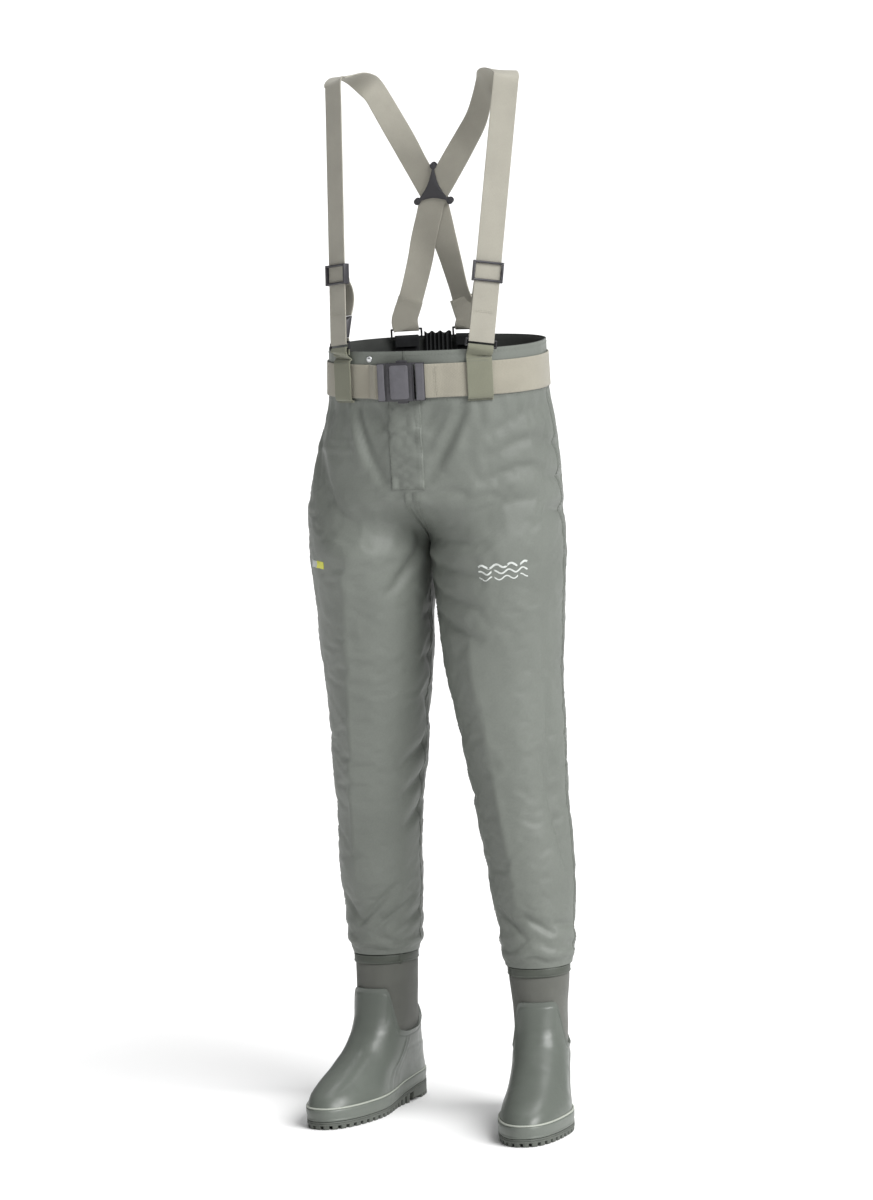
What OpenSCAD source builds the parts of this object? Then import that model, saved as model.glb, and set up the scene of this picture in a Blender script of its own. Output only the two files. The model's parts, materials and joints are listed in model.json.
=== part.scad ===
// Waist-high fishing waders on crossed suspenders, standing on their own boots.
// +Z is up, the front faces -Y and the wearer's right is at -X. The soles stand on z = 0.

/* [Webbing] */
// Width of the suspender webbing
strap_w = 38; // [30:1:40]
// Thickness of the suspender webbing
strap_t = 1.8; // [1.2:0.1:2.0]
// Width of the belt webbing
belt_w = 50; // [40:1:50]
// Thickness of the belt webbing
belt_t = 2; // [1.4:0.1:2.2]

/* [Trousers] */
// Height of the waistband's top edge
waist_top = 1157; // [1150:1:1165]
// Height of the leg hems
hem_z = 232.3; // [232.3:0.1:240]
// Wall that stands in for the laminated fabric
cloth_t = 3; // [2:0.5:3]
// Width of the fly flap
fly_w = 50; // [40:1:60]
// Height of the fly flap's lower edge
fly_z = 953; // [930:1:980]

/* [Hardware] */
// Diameter of the ring wire
ring_d = 3; // [2.4:0.1:3.2]
// Height of an adjuster frame
adjuster_h = 30; // [26:1:34]
// Diameter of an adjuster bar
adjuster_bar = 3.6; // [3:0.1:4]
// Length of the buckle's female box along the belt
buckle_box = 38; // [34:1:40]
// Height of the buckle's plates
buckle_h = 56; // [54:1:58]

/* [Boots] */
// Wall of the rubber boot shell
rubber_t = 3; // [2:0.5:3]
// Wall of the neoprene shaft
neoprene_t = 4; // [3:0.5:5]
// Depth of the sole lugs
lug_h = 6; // [4:0.5:6]
// Height of the rand above the foot bed
rand_h = 20; // [16:1:22]
// Height of the cuff tape
tape_h = 14; // [10:1:14]

/* [Hidden] */

RIGHT = -1;
LEFT = 1;
fabric_colour = "#6f766f";
webbing_colour = "#a8a596";
belt_colour = "#bbb6a5";
loop_colour = "#8d8f78";
plastic_colour = "#2c2b2f";
lining_colour = "#3a3b3a";
rubber_colour = "#66706a";
neoprene_colour = "#4c504d";
sole_colour = "#3c403d";
trim_colour = "#a4aaa2";

// The whole object is shifted so that its box is centred on the origin.
stand_shift = [12.6, 77.8, 0];
gap = 0.3;

// ---- Small functions -------------------------------------------------------
function mix(a, b, t) = a + (b - a) * t;
function ease(t) = let (u = max(0, min(1, t))) u * u * (3 - 2 * u);
function spow(v, p) = sign(v) * pow(abs(v), p);
function unit(v) = v / norm(v);
function flat(rows) = [for (row = rows) for (p = row) p];
function span(a, b, n) = [for (i = [0 : n]) a + (b - a) * i / n];

module placed() {
  translate(stand_shift) children();
}

// ---- Closed surfaces from grids of points ----------------------------------
// Rows go up and columns go to the right, as seen from outside.
function outer_faces(rows, cols, wrap) = [
  for (r = [0 : rows - 2])
    for (c = [0 : (wrap ? cols - 1 : cols - 2)])
      let (d = (c + 1) % cols)
        for (f = [
          [r * cols + c, (r + 1) * cols + c, (r + 1) * cols + d],
          [r * cols + c, (r + 1) * cols + d, r * cols + d]
        ]) f
];
function reversed(faces, base) = [for (f = faces) [f[0] + base, f[2] + base, f[1] + base]];
function rim_faces(rows, cols, wrap) =
  let (base = rows * cols, top = (rows - 1) * cols)
    [for (c = [0 : (wrap ? cols - 1 : cols - 2)])
      let (d = (c + 1) % cols)
        for (f = [
          [c, d, base + d],
          [c, base + d, base + c],
          [top + d, top + c, base + top + c],
          [top + d, base + top + c, base + top + d]
        ]) f];
function side_faces(rows, cols) =
  let (base = rows * cols)
    [for (r = [0 : rows - 2])
      let (a = r * cols, b = (r + 1) * cols, e = a + cols - 1, g = b + cols - 1)
        for (f = [
          [b, a, base + a],
          [b, base + a, base + b],
          [e, g, base + g],
          [e, base + g, base + e]
        ]) f];

// A curved sheet between an outer and an inner grid.
module sheet(outer, inner) {
  rows = len(outer);
  cols = len(outer[0]);
  skin = outer_faces(rows, cols, false);
  faces = concat(skin, reversed(skin, rows * cols), rim_faces(rows, cols, false), side_faces(rows, cols));
  polyhedron(concat(flat(outer), flat(inner)), faces, convexity = 6);
}

// A closed tube between an outer and an inner grid.
module tube(outer, inner) {
  rows = len(outer);
  cols = len(outer[0]);
  skin = outer_faces(rows, cols, true);
  faces = concat(skin, reversed(skin, rows * cols), rim_faces(rows, cols, true));
  polyhedron(concat(flat(outer), flat(inner)), faces, convexity = 6);
}

// A solid through a list of rings, closed at both ends.
module loft(rings) {
  rows = len(rings);
  cols = len(rings[0]);
  first = [for (c = [1 : cols - 2]) [0, c, c + 1]];
  base = (rows - 1) * cols;
  last = [for (c = [1 : cols - 2]) [base, base + c + 1, base + c]];
  polyhedron(flat(rings), concat(outer_faces(rows, cols, true), first, last), convexity = 6);
}

// Flat webbing along points [x, y, z] with a face normal at each.
function webbing_ring(points, normals, i, width, thick) =
  let (
    a = points[max(0, i - 1)],
    b = points[min(len(points) - 1, i + 1)],
    along = unit(b - a),
    n = unit(normals[i] - along * (along * normals[i])),
    w = cross(along, n) * width / 2,
    h = n * thick / 2
  ) [points[i] + h + w, points[i] - h + w, points[i] - h - w, points[i] + h - w];
module webbing(points, normals, width, thick) {
  loft([for (i = [0 : len(points) - 1]) webbing_ring(points, normals, i, width, thick)]);
}

// ---- Trousers ---------------------------------------------------------------
// Reach of the hips to the wearer's right, left, front and back at each height.
seam_x = -12;
hip_right = [[711, 191], [801, 197], [921, 194], [951, 188], [1011, 174], [1071, 154], [1157, 150]];
hip_left = [[711, 179], [801, 192], [861, 189], [951, 188], [1011, 184], [1071, 175], [1157, 174]];
hip_front = [[830, 104], [921, 118], [1011, 122], [1088, 119], [1157, 118]];
hip_back = [[830, 108], [921, 130], [1011, 128], [1071, 119], [1157, 118]];
hip_power = 2.3;

function hip_mid(z) = (lookup(z, hip_left) - lookup(z, hip_right)) / 2;
function hip_half(z) = (lookup(z, hip_left) + lookup(z, hip_right)) / 2;

// A point on the hips at an angle, grown outward by out.
function hip_point(z, angle, out) =
  let (depth = sin(angle) < 0 ? lookup(z, hip_front) : lookup(z, hip_back))
    [
      hip_mid(z) + (hip_half(z) + out) * spow(cos(angle), 2 / hip_power),
      (depth + out) * spow(sin(angle), 2 / hip_power),
      z
    ];
// The angle at which the hips cross a given x, in front.
function hip_angle(z, x) =
  let (r = (x - hip_mid(z)) / hip_half(z)) -acos(spow(r, hip_power / 2));

// Centre and half-widths of each leg at each height.
leg_x = [
  [[232, -130], [380, -127], [470, -121], [560, -114], [681, -107], [850, -103], [930, -103]],
  [[232, 132], [380, 125], [470, 113], [560, 104], [681, 92], [850, 88.5], [930, 88.5]]
];
leg_y = [
  [[232, 60], [380, 45], [560, 27], [711, 13], [850, 0], [930, 0]],
  [[232, -60], [380, -45], [560, -27], [711, -13], [850, 0], [930, 0]]
];
leg_a = [
  [[232, 54], [290, 57], [350, 62], [470, 65], [530, 71], [620, 77], [711, 85], [850, 91], [930, 91]],
  [[232, 54], [290, 57], [350, 63], [470, 70], [530, 74], [620, 83], [711, 91], [850, 100.5], [930, 100.5]]
];
leg_b = [[232, 56], [290, 60], [350, 66], [500, 75], [681, 94], [850, 115], [930, 122]];
crotch_low = 850;
crotch_high = 940;

function leg_point(side, z, t, out) =
  let (
    k = side < 0 ? 0 : 1,
    angle = side < 0 ? -360 * t : 180 + 360 * t
  ) [
    lookup(z, leg_x[k]) + (lookup(z, leg_a[k]) + out) * cos(angle),
    lookup(z, leg_y[k]) + (lookup(z, leg_b) + out) * sin(angle),
    z
  ];
function half_hip_point(side, z, t, out) =
  let (
    front = hip_angle(z, seam_x),
    back = 360 + hip_angle(z, seam_x) * -1,
    turn = side < 0 ? mix(front, front - 2 * (180 + front), t) : mix(front, -front, t)
  ) hip_point(z, turn, out);
// One half of the trousers: t runs from the front seam round the outseam to the back seam.
function cloth_point(side, z, t, out) =
  let (
    w = ease((z - crotch_low) / (crotch_high - crotch_low)),
    p = mix(leg_point(side, z, t, out), half_hip_point(side, z, t, out), w)
  ) p + [side * gap / 2, 0, 0];

cloth_z = concat(
  [hem_z, 260, 290, 350, 410, 470, 530, 590, 640, 690, 740, 790, 830],
  [850, 868, 886, 904, 922, 940, 970, 1011, 1041, 1071, 1100, waist_top]
);
panel_steps = 10;

module cloth_panel(side, t_first, t_last) {
  ts = side < 0 ? span(t_last, t_first, panel_steps) : span(t_first, t_last, panel_steps);
  sheet(
    [for (z = cloth_z) [for (t = ts) cloth_point(side, z, t, 0)]],
    [for (z = cloth_z) [for (t = ts) cloth_point(side, z, t, -cloth_t)]]
  );
}

module front_panel_right() {
  color(fabric_colour) placed() cloth_panel(RIGHT, 0, 0.5);
}
module front_panel_left() {
  color(fabric_colour) placed() cloth_panel(LEFT, 0, 0.5);
}
module back_panel_right() {
  color(fabric_colour) placed() cloth_panel(RIGHT, 0.5, 1);
}
module back_panel_left() {
  color(fabric_colour) placed() cloth_panel(LEFT, 0.5, 1);
}

// A strip that lies on the hips between two angles, from one offset to another.
module hip_strip(zs, from, to, steps, out_high, out_low) {
  angles = span(from, to, steps);
  sheet(
    [for (z = zs) [for (a = angles) hip_point(z, a, out_high)]],
    [for (z = zs) [for (a = angles) hip_point(z, a, out_low)]]
  );
}

fly_x = -15;
fly_t = 1.5;
fly_gap = 0.7;
function fly_row(z, out) = [for (x = span(-fly_w / 2, fly_w / 2, 6)) hip_point(z, hip_angle(z, fly_x + x), out)];
module fly_flap() {
  zs = [fly_z, 990, 1011, 1041, 1086];
  color(fabric_colour) placed() sheet(
    [for (z = zs) fly_row(z, fly_gap + fly_t)],
    [for (z = zs) fly_row(z, fly_gap)]
  );
}

facing_low = 1086;
facing_t = 2;
// A whole ring round both halves, at the same stations as the panels.
function cloth_ring(z, out) = concat(
  [for (t = span(1, 0, 2 * panel_steps)) cloth_point(RIGHT, z, t, out)],
  [for (t = span(0, 1, 2 * panel_steps)) cloth_point(LEFT, z, t, out)]
);
module waist_facing() {
  far = -cloth_t - gap;
  zs = [facing_low, 1100, waist_top - 1];
  color(lining_colour) placed() tube(
    [for (z = zs) cloth_ring(z, far)],
    [for (z = zs) cloth_ring(z, far - facing_t)]
  );
}

elastic_out = -cloth_t - facing_t - 3 * gap;
elastic_x = [8, -36];
module rear_elastic() {
  from = -hip_angle(1130, elastic_x[0]);
  to = -hip_angle(1130, elastic_x[1]);
  color(lining_colour) placed() hip_strip([1104, 1162], from, to, 8, elastic_out, elastic_out - 4);
}

snap_at = [-66, 1146];
module waist_snap() {
  at = hip_point(snap_at[1], hip_angle(snap_at[1], snap_at[0]), gap);
  color("silver") placed() translate(at) rotate([90, 0, -16]) cylinder(h = 2.4, d = 9, $fn = 32);
}

// ---- Belt and buckle --------------------------------------------------------
belt_z = 1113;
belt_low = belt_z - belt_w / 2;
belt_high = belt_z + belt_w / 2;
belt_out = 0.6;
buckle_x = -15;
buckle_y = -127.6;
plate_t = 3;
arm_t = 5;
male_base_w = 14;
female_frame_w = 18;
box_left = buckle_x - 21;
box_right = box_left + buckle_box;
bar_r = 2;
male_bar_x = box_left - 8;
female_bar_x = box_right + 11;
belt_bar_z = belt_w + 1;

// The belt lies on the hips from the female half, round the back, to the tab on the right.
module belt_webbing() {
  zs = [belt_low, belt_high];
  start = hip_angle(belt_z, female_bar_x + 4);
  finish = 360 + hip_angle(belt_z, -94);
  angles = span(start, finish, 60);
  color(belt_colour) placed() sheet(
    [for (z = zs) [for (a = angles) hip_point(z, a, belt_out + belt_t)]],
    [for (z = zs) [for (a = angles) hip_point(z, a, belt_out)]]
  );
}

// The short stretch between the tab on the right and the male half.
module belt_stretch() {
  zs = [belt_low, belt_high];
  angles = span(360 + hip_angle(belt_z, -93.5), 360 + hip_angle(belt_z, male_bar_x - 1), 8);
  color(belt_colour) placed() sheet(
    [for (z = zs) [for (a = angles) hip_point(z, a, belt_out + belt_t)]],
    [for (z = zs) [for (a = angles) hip_point(z, a, belt_out)]]
  );
}

// A flat frame with one bar that the webbing goes round.
module bar_frame(width, deep) {
  wall = 3;
  difference() {
    translate([-width / 2, -deep / 2, -buckle_h / 2]) cube([width, deep, buckle_h]);
    translate([-width / 2 + wall, -deep, -belt_bar_z / 2]) cube([width - 2 * wall, 2 * deep, belt_bar_z]);
  }
  translate([0, 0, -belt_bar_z / 2]) cylinder(h = belt_bar_z, r = bar_r, $fn = 24);
}

box_deep = 12;
core_h = 38;
core_cut_h = 27;
tongue_h = 25;
tongue_t = 4;
module buckle_female() {
  color(plastic_colour) placed() translate([0, buckle_y, belt_z]) {
    for (y = [-box_deep / 2, box_deep / 2 - plate_t])
      translate([box_left, y, -buckle_h / 2]) cube([buckle_box, plate_t, buckle_h]);
    difference() {
      translate([box_left, -box_deep / 2, -core_h / 2]) cube([buckle_box, box_deep, core_h]);
      translate([box_left - 1, -3, -core_cut_h / 2]) cube([buckle_box - 3, 6, core_cut_h]);
    }
    translate([box_right - 3, -box_deep / 2, -buckle_h / 2]) cube([3, box_deep, buckle_h]);
    translate([box_right + female_frame_w / 2 - 0.5, 1, 0]) bar_frame(female_frame_w + 1, 6);
  }
}

module buckle_male() {
  base_x = box_left - gap - male_base_w / 2;
  color(plastic_colour) placed() translate([0, buckle_y, belt_z]) {
    translate([base_x, 0, 0]) bar_frame(male_base_w, 8);
    translate([base_x + male_base_w / 2 - 3, -tongue_t / 2, -tongue_h / 2]) cube([buckle_box - 6, tongue_t, tongue_h]);
  }
}

// Each arm is hinged at its root on the male half and carries the press pad at its tip.
arm_len = 28;
arm_low = 22.6;
arm_deep = 5.2;
arm_pin_r = 2.6;
module latch_arm(up) {
  pin_x = box_left - gap - 3 + arm_pin_r + 3.2;
  color(plastic_colour) placed() translate([pin_x, buckle_y, belt_z]) mirror([0, 0, up ? 0 : 1]) {
    translate([0, arm_deep / 2, arm_low + arm_pin_r]) rotate([90, 0, 0]) cylinder(h = arm_deep, r = arm_pin_r, $fn = 32);
    translate([0, -arm_deep / 2, arm_low + 0.8]) cube([arm_len, arm_deep, 3.6]);
    translate([12, -arm_deep / 2, arm_low + 0.8]) cube([arm_len - 12, arm_deep, 8]);
  }
}
module latch_arm_upper() {
  latch_arm(true);
}
module latch_arm_lower() {
  latch_arm(false);
}

// ---- Suspenders -------------------------------------------------------------
// Each front strap runs straight from its ring to the shoulder.
ring_at = [[-115, -95, 1170], [105, -111, 1170]];
shoulder_at = [[-120, -25, 1545], [142, -25, 1545]];
strap_yaw = [-38, 20];
function of_side(side, pair) = pair[side < 0 ? 0 : 1];
function strap_dir(side) = unit(of_side(side, shoulder_at) - of_side(side, ring_at));
function yaw_normal(yaw) = [sin(yaw), -cos(yaw), 0];
function strap_normal(side) =
  let (d = strap_dir(side), n = yaw_normal(of_side(side, strap_yaw))) unit(n - d * (d * n));
// A point in a strap's own frame: across, inward from its middle and along.
function strap_point(side, x, y, z) =
  let (d = strap_dir(side), n = strap_normal(side), w = cross(d, n))
    of_side(side, ring_at) + w * x - n * y + d * z;
module strap_frame(side) {
  d = strap_dir(side);
  n = strap_normal(side);
  w = cross(d, n);
  o = of_side(side, ring_at);
  multmatrix([[w.x, -n.x, d.x, o.x], [w.y, -n.y, d.y, o.y], [w.z, -n.z, d.z, o.z], [0, 0, 0, 1]]) children();
}

fold_r = ring_d / 2 + 0.25 + strap_t / 2;
ring_tall = 9.5;
// Front layer and the fold round the ring's upper bar, from the keeper's foot to the shoulder.
fold_steps = [-90, -60, -30, 0, 30, 60, 90];
function front_fold(side) = concat(
  [strap_point(side, 0, 2 * fold_r, 6.6)],
  [for (a = fold_steps) strap_point(side, 0, fold_r - fold_r * sin(a), -fold_r * cos(a))]
);
function front_fold_normals(side) =
  let (d = strap_dir(side), n = strap_normal(side))
    concat([-n], [for (a = fold_steps) n * sin(a) - d * cos(a)]);

shoulder_points = [
  [[-119, -15, 1552], [-112, 4, 1556], [-100, 24, 1553], [-88, 39, 1544]],
  [[141, -15, 1552], [133, 4, 1556], [116, 24, 1553], [100, 39, 1544]]
];
shoulder_normals = [
  [[-0.35, -0.45, 0.8], [-0.1, 0, 1], [-0.2, 0.4, 0.9], [-0.4, 0.7, 0.6]],
  [[0.3, -0.45, 0.8], [0.1, 0, 1], [0.2, 0.4, 0.9], [0.4, 0.7, 0.6]]
];
// Behind, the straps cross: each list runs from the shoulder down to the far rear ring.
cross_at = [-6, 100, 1366];
lean = 0.14;
layer = [1.15, -1.15];
back_points = [
  [[-78, 52, 1531], [-69, 65, 1509], [-57, 77, 1480], [-44, 87, 1450], [-31, 92.4, 1420], [-18, 96.2, 1393],
   [-6, 100, 1366], [0, 104.2, 1336], [5, 108.2, 1304], [13, 110.5, 1270], [25, 110, 1220]],
  [[91, 52, 1531], [83, 65, 1509], [70, 77, 1480], [50, 87, 1450], [30, 92.4, 1420], [12, 96.2, 1393],
   [-6, 100, 1366], [-16, 104.2, 1336], [-26, 108.2, 1304], [-34, 109, 1270], [-48, 104, 1220]]
];
back_yaws = [
  [-40, -36, -28, -14, 0, 0, 0, 0, 3, 18, 28],
  [36, 30, 24, 14, 0, 0, 0, 0, -3, -18, -28]
];
rear_ring_at = [[-58, 98, 1169], [34, 104.6, 1169]];
rear_yaw = [-17, 8];
function rear_normal(yaw) = [sin(yaw), cos(yaw), 0];
function rear_frame_point(side, y, z) =
  let (n = rear_normal(of_side(side, rear_yaw)), at = of_side(side, rear_ring_at)) at + n * y + [0, 0, z];
// The strap of one side ends at the ring of the other side, folded round the bar and sewn.
function rear_end(side) = concat(
  [rear_frame_point(-side, fold_r, 20)],
  [for (a = fold_steps) rear_frame_point(-side, -fold_r * sin(a), -fold_r * cos(a))],
  [rear_frame_point(-side, -fold_r, 14)]
);
function rear_end_normals(side) =
  let (n = rear_normal(of_side(-side, rear_yaw)))
    concat([n], [for (a = fold_steps) -n * sin(a) - [0, 0, cos(a)]], [-n]);

// The layers part where the straps overlap and come together again beyond.
function layer_share(z) = z > 1421 ? max(0, 1 - (z - 1421) / 40) : z < 1300 ? max(0, 1 - (1300 - z) / 60) : 1;
function side_layer(side, points) =
  [for (p = points) p + [0, of_side(side, layer) * layer_share(p.z), 0]];

strap_stations = [40, 150, 260, 350];
module strap(side) {
  k = side < 0 ? 0 : 1;
  points = concat(
    front_fold(side), [for (z = strap_stations) strap_point(side, 0, 0, z)],
    [of_side(side, shoulder_at)], shoulder_points[k], side_layer(side, back_points[k]), rear_end(side)
  );
  n = strap_normal(side);
  normals = concat(
    front_fold_normals(side), [for (z = strap_stations) n], [n], shoulder_normals[k],
    [for (a = back_yaws[k]) rear_normal(a) + [0, 0, lean]], rear_end_normals(side)
  );
  color(webbing_colour) placed() webbing(points, normals, strap_w, strap_t);
}
module strap_right() {
  strap(RIGHT);
}
module strap_left() {
  strap(LEFT);
}

// A rectangular ring of round wire, its top bar at the origin.
module wire_ring(width, tall) {
  r = ring_d / 2;
  for (x = [-width / 2, width / 2]) {
    translate([x, 0, -tall]) cylinder(h = tall, r = r, $fn = 24);
    for (z = [0, -tall]) translate([x, 0, z]) sphere(r = r, $fn = 24);
  }
  for (z = [0, -tall])
    translate([-width / 2, 0, z]) rotate([0, 90, 0]) cylinder(h = width, r = r, $fn = 24);
}

ring_w = strap_w + 7;
module front_ring(side) {
  color(plastic_colour) placed() strap_frame(side) translate([0, fold_r, 0]) wire_ring(ring_w, ring_tall);
}
module front_ring_right() {
  front_ring(RIGHT);
}
module front_ring_left() {
  front_ring(LEFT);
}

rear_tall = 12;
module rear_ring(side) {
  color(plastic_colour) placed() translate(of_side(side, rear_ring_at))
    rotate([0, 0, -of_side(side, rear_yaw)]) wire_ring(ring_w, rear_tall);
}
module rear_ring_right() {
  rear_ring(RIGHT);
}
module rear_ring_left() {
  rear_ring(LEFT);
}

// The belt loops stand over the belt and end in a fold round the ring's lower bar.
function waist_y(x, z, out) = hip_point(z, hip_angle(z, x), out).y;
function loop_out(z) = z > belt_low - 3 && z < belt_high + 5 ? belt_t + 3.4 : 0.6;
loop_zs = [1081, 1084, 1087, 1113, 1141, 1146];
loop_shift = [7, -7];
module belt_loop(side) {
  at = of_side(side, ring_at);
  n = strap_normal(side);
  d = strap_dir(side);
  yaw = yaw_normal(of_side(side, strap_yaw));
  x = at.x + of_side(side, loop_shift);
  lower = [for (z = loop_zs) [x, waist_y(x, z, 0), z] + yaw * (loop_out(z) + strap_t / 2)];
  bar = [for (a = fold_steps) strap_point(side, 0, fold_r + fold_r * sin(a), -ring_tall + fold_r * cos(a))];
  ends = [strap_point(side, 0, 2 * fold_r, -ring_tall - 9)];
  points = concat(lower, [strap_point(side, 0, 0, -ring_tall - 5)], bar, ends);
  normals = concat([for (z = loop_zs) yaw], [n], [for (a = fold_steps) d * cos(a) - n * sin(a)], [-n]);
  color(loop_colour) placed() webbing(points, normals, strap_w, strap_t);
}
module belt_loop_right() {
  belt_loop(RIGHT);
}
module belt_loop_left() {
  belt_loop(LEFT);
}

// The rear tabs are sewn inside the waistband and fold round the rear rings' lower bars.
module rear_tab(side) {
  n = rear_normal(of_side(side, rear_yaw));
  lower = [for (z = [-62, -34]) rear_frame_point(side, fold_r, z)];
  bar = [for (a = fold_steps) rear_frame_point(side, -fold_r * sin(a), -rear_tall + fold_r * cos(a))];
  points = concat(lower, bar, [rear_frame_point(side, -fold_r, -rear_tall - 14)]);
  normals = concat([n, n], [for (a = fold_steps) [0, 0, cos(a)] - n * sin(a)], [-n]);
  color(lining_colour) placed() webbing(points, normals, strap_w - 2, strap_t);
}
module rear_tab_right() {
  rear_tab(RIGHT);
}
module rear_tab_left() {
  rear_tab(LEFT);
}

// The adjuster's upper and lower bars lie in front of the strap, its middle bar behind it.
adjuster_at = 101;
adjuster_side = 3;
adjuster_w = strap_w + 1.4;
bar_y = strap_t / 2 + 0.35 + adjuster_bar / 2;
module adjuster(side) {
  color(plastic_colour) placed() strap_frame(side) translate([0, 0, adjuster_at]) {
    for (z = [-1, 1] * (adjuster_h - adjuster_bar) / 2)
      translate([-adjuster_w / 2 - 1, -bar_y, z]) rotate([0, 90, 0]) cylinder(h = adjuster_w + 2, d = adjuster_bar, $fn = 24);
    translate([-adjuster_w / 2 - 1, bar_y, 0]) rotate([0, 90, 0]) cylinder(h = adjuster_w + 2, d = adjuster_bar, $fn = 24);
    for (x = [-adjuster_w / 2 - adjuster_side, adjuster_w / 2])
      translate([x, -bar_y - adjuster_bar / 2, -adjuster_h / 2])
        cube([adjuster_side, 2 * bar_y + adjuster_bar, adjuster_h]);
  }
}
module adjuster_right() {
  adjuster(RIGHT);
}
module adjuster_left() {
  adjuster(LEFT);
}

// The return layer goes round the adjuster's middle bar and bows inward on its way to the keeper.
keeper_low = 7;
keeper_high = 40;
return_path = [[11.5, keeper_high + 0.3], [15, 52], [17, 66], [14.5, 80], [9.4, 90], [8.6, adjuster_at - 6]];
bend_r = adjuster_bar / 2 + 0.3 + strap_t / 2;
module strap_return(side) {
  n = strap_normal(side);
  path = [for (p = return_path) strap_point(side, 0, p[0], p[1])];
  top = [for (a = [0 : 30 : 90]) strap_point(side, 0, bar_y + bend_r * cos(a), adjuster_at + bend_r * sin(a))];
  points = concat(path, top);
  normals = concat([for (p = path) -n], [for (a = [0 : 30 : 90]) -n * cos(a) + strap_dir(side) * sin(a)]);
  color(webbing_colour) placed() webbing(points, normals, strap_w - 2, strap_t);
}
module strap_return_right() {
  strap_return(RIGHT);
}
module strap_return_left() {
  strap_return(LEFT);
}

// The keeper is a moulded wedge that holds the two layers together above the ring.
module strap_keeper(side) {
  w = strap_w - 2;
  profile = [[1.2, keeper_low], [6.6, keeper_low], [13, keeper_high], [1.2, keeper_high - 8]];
  color(plastic_colour) placed() strap_frame(side) translate([-w / 2, 0, 0]) rotate([90, 0, 90])
    linear_extrude(w) polygon(profile);
}
module strap_keeper_right() {
  strap_keeper(RIGHT);
}
module strap_keeper_left() {
  strap_keeper(LEFT);
}

// The cross-back slider clamps the crossing between two concave triangular plates.
plate_half = 25;
plate_up = 48;
plate_up_x = 4;
plate_drop = -6;
corner_r = 5;
pin_r = 2;
cross_plate_t = 2.2;
corners = [[-plate_half, plate_drop], [plate_half, plate_drop], [plate_up_x, plate_up]];
module cross_frame() {
  s = sqrt(1 + lean * lean);
  multmatrix([[1, 0, 0, cross_at.x], [0, 1 / s, -lean / s, cross_at.y], [0, lean / s, 1 / s, cross_at.z], [0, 0, 0, 1]])
    children();
}
module cross_outline() {
  middle = [0, 12];
  bow = 0.3;
  arms = [for (i = [0 : 2]) let (a = corners[i], b = corners[(i + 1) % 3])
    for (u = [0.02, 0.15, 0.3, 0.5, 0.7, 0.85, 0.98]) mix(mix(a, b, u), middle, bow * 4 * u * (1 - u))];
  union() {
    polygon(arms);
    for (c = corners) translate(c) circle(r = corner_r, $fn = 28);
  }
}
module cross_plate(y) {
  color(plastic_colour) placed() cross_frame() translate([0, y, 0]) rotate([90, 0, 0])
    linear_extrude(cross_plate_t) cross_outline();
}
module crossback_front_plate() {
  cross_plate(-2.6);
}
module crossback_back_plate() {
  cross_plate(2.6 + cross_plate_t);
}
module crossback_pins() {
  color(plastic_colour) placed() cross_frame() for (c = corners)
    translate([c[0], 2.55, c[1]]) rotate([90, 0, 0]) cylinder(h = 5.1, r = pin_r, $fn = 24);
}

// ---- Boots ------------------------------------------------------------------
ankle = [[-130, 60], [132, -60]];
toe_out = [-18.5, 6.5];
module at_boot(side) {
  a = of_side(side, ankle);
  translate([a.x, a.y, 0]) rotate([0, 0, of_side(side, toe_out)]) children();
}

// Height of the foot bed along the foot, and the outline's reach at each height above it.
function bed(y) = 12 + 11 * ease((y + 70) / 90);
toe_reach = [[0, 226], [20, 228], [40, 216], [58, 190], [74, 150], [92, 112], [112, 86], [135, 70], [182, 58], [245, 50]];
heel_reach = [[0, 72], [20, 75], [60, 71], [100, 61], [150, 54], [200, 51], [245, 50]];
ball_half = [[0, 54], [20, 56], [40, 52], [60, 47], [85, 44], [112, 43], [160, 43], [215, 48], [245, 49]];
heel_half = [[0, 37], [20, 39], [60, 37], [112, 41], [160, 43], [215, 48], [245, 49]];
toe_in = 9;

function outline_half(h, s) =
  let (
    w = mix(lookup(h, heel_half), lookup(h, ball_half), ease((s - 0.3) / 0.4)),
    arch = 4 * (1 - ease(h / 60)) * exp(-pow((s - 0.4) / 0.12, 2))
  ) w - arch;
// angle 0 is the back of the heel and 180 the tip of the toe; out grows the outline.
function foot_point(side, h, angle, out) =
  let (
    s = (1 - cos(angle)) / 2,
    front = lookup(h, toe_reach) + out,
    back = lookup(h, heel_reach) + out,
    y = back - (front + back) * s,
    bend = -side * toe_in * ease((s - 0.5) / 0.5) * (1 - ease(h / 100)),
    x = -(outline_half(h, s) + out) * spow(sin(angle), 0.85) + bend
  ) [x, y, h + bed(y) * (1 - ease(h / 80))];

// Top edge of the rubber: high in front, dipped at the sides and risen at the back.
collar = [[0, 182], [34, 182], [44, 168], [54, 140], [66, 118], [85, 112], [115, 113], [145, 126], [168, 149], [180, 152]];
function collar_h(angle) = lookup(abs(angle - 180), collar);
boot_angles = [for (i = [0 : 35]) i * 10];
shell_heights = [0, 10, 20, 22.5, 40, 58, 74, 92, 112, 135, 158, 182];
shell_last = len(shell_heights) - 1;
row_step = 0.4;
function shell_grid(side, out) =
  [for (k = [0 : shell_last])
    [for (a = boot_angles)
      foot_point(side, min(shell_heights[k], collar_h(a) - (shell_last - k) * row_step), a, out)]];

module boot_upper(side) {
  color(rubber_colour) placed() at_boot(side) tube(shell_grid(side, 0), shell_grid(side, -rubber_t));
}
module boot_upper_right() {
  boot_upper(RIGHT);
}
module boot_upper_left() {
  boot_upper(LEFT);
}

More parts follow.
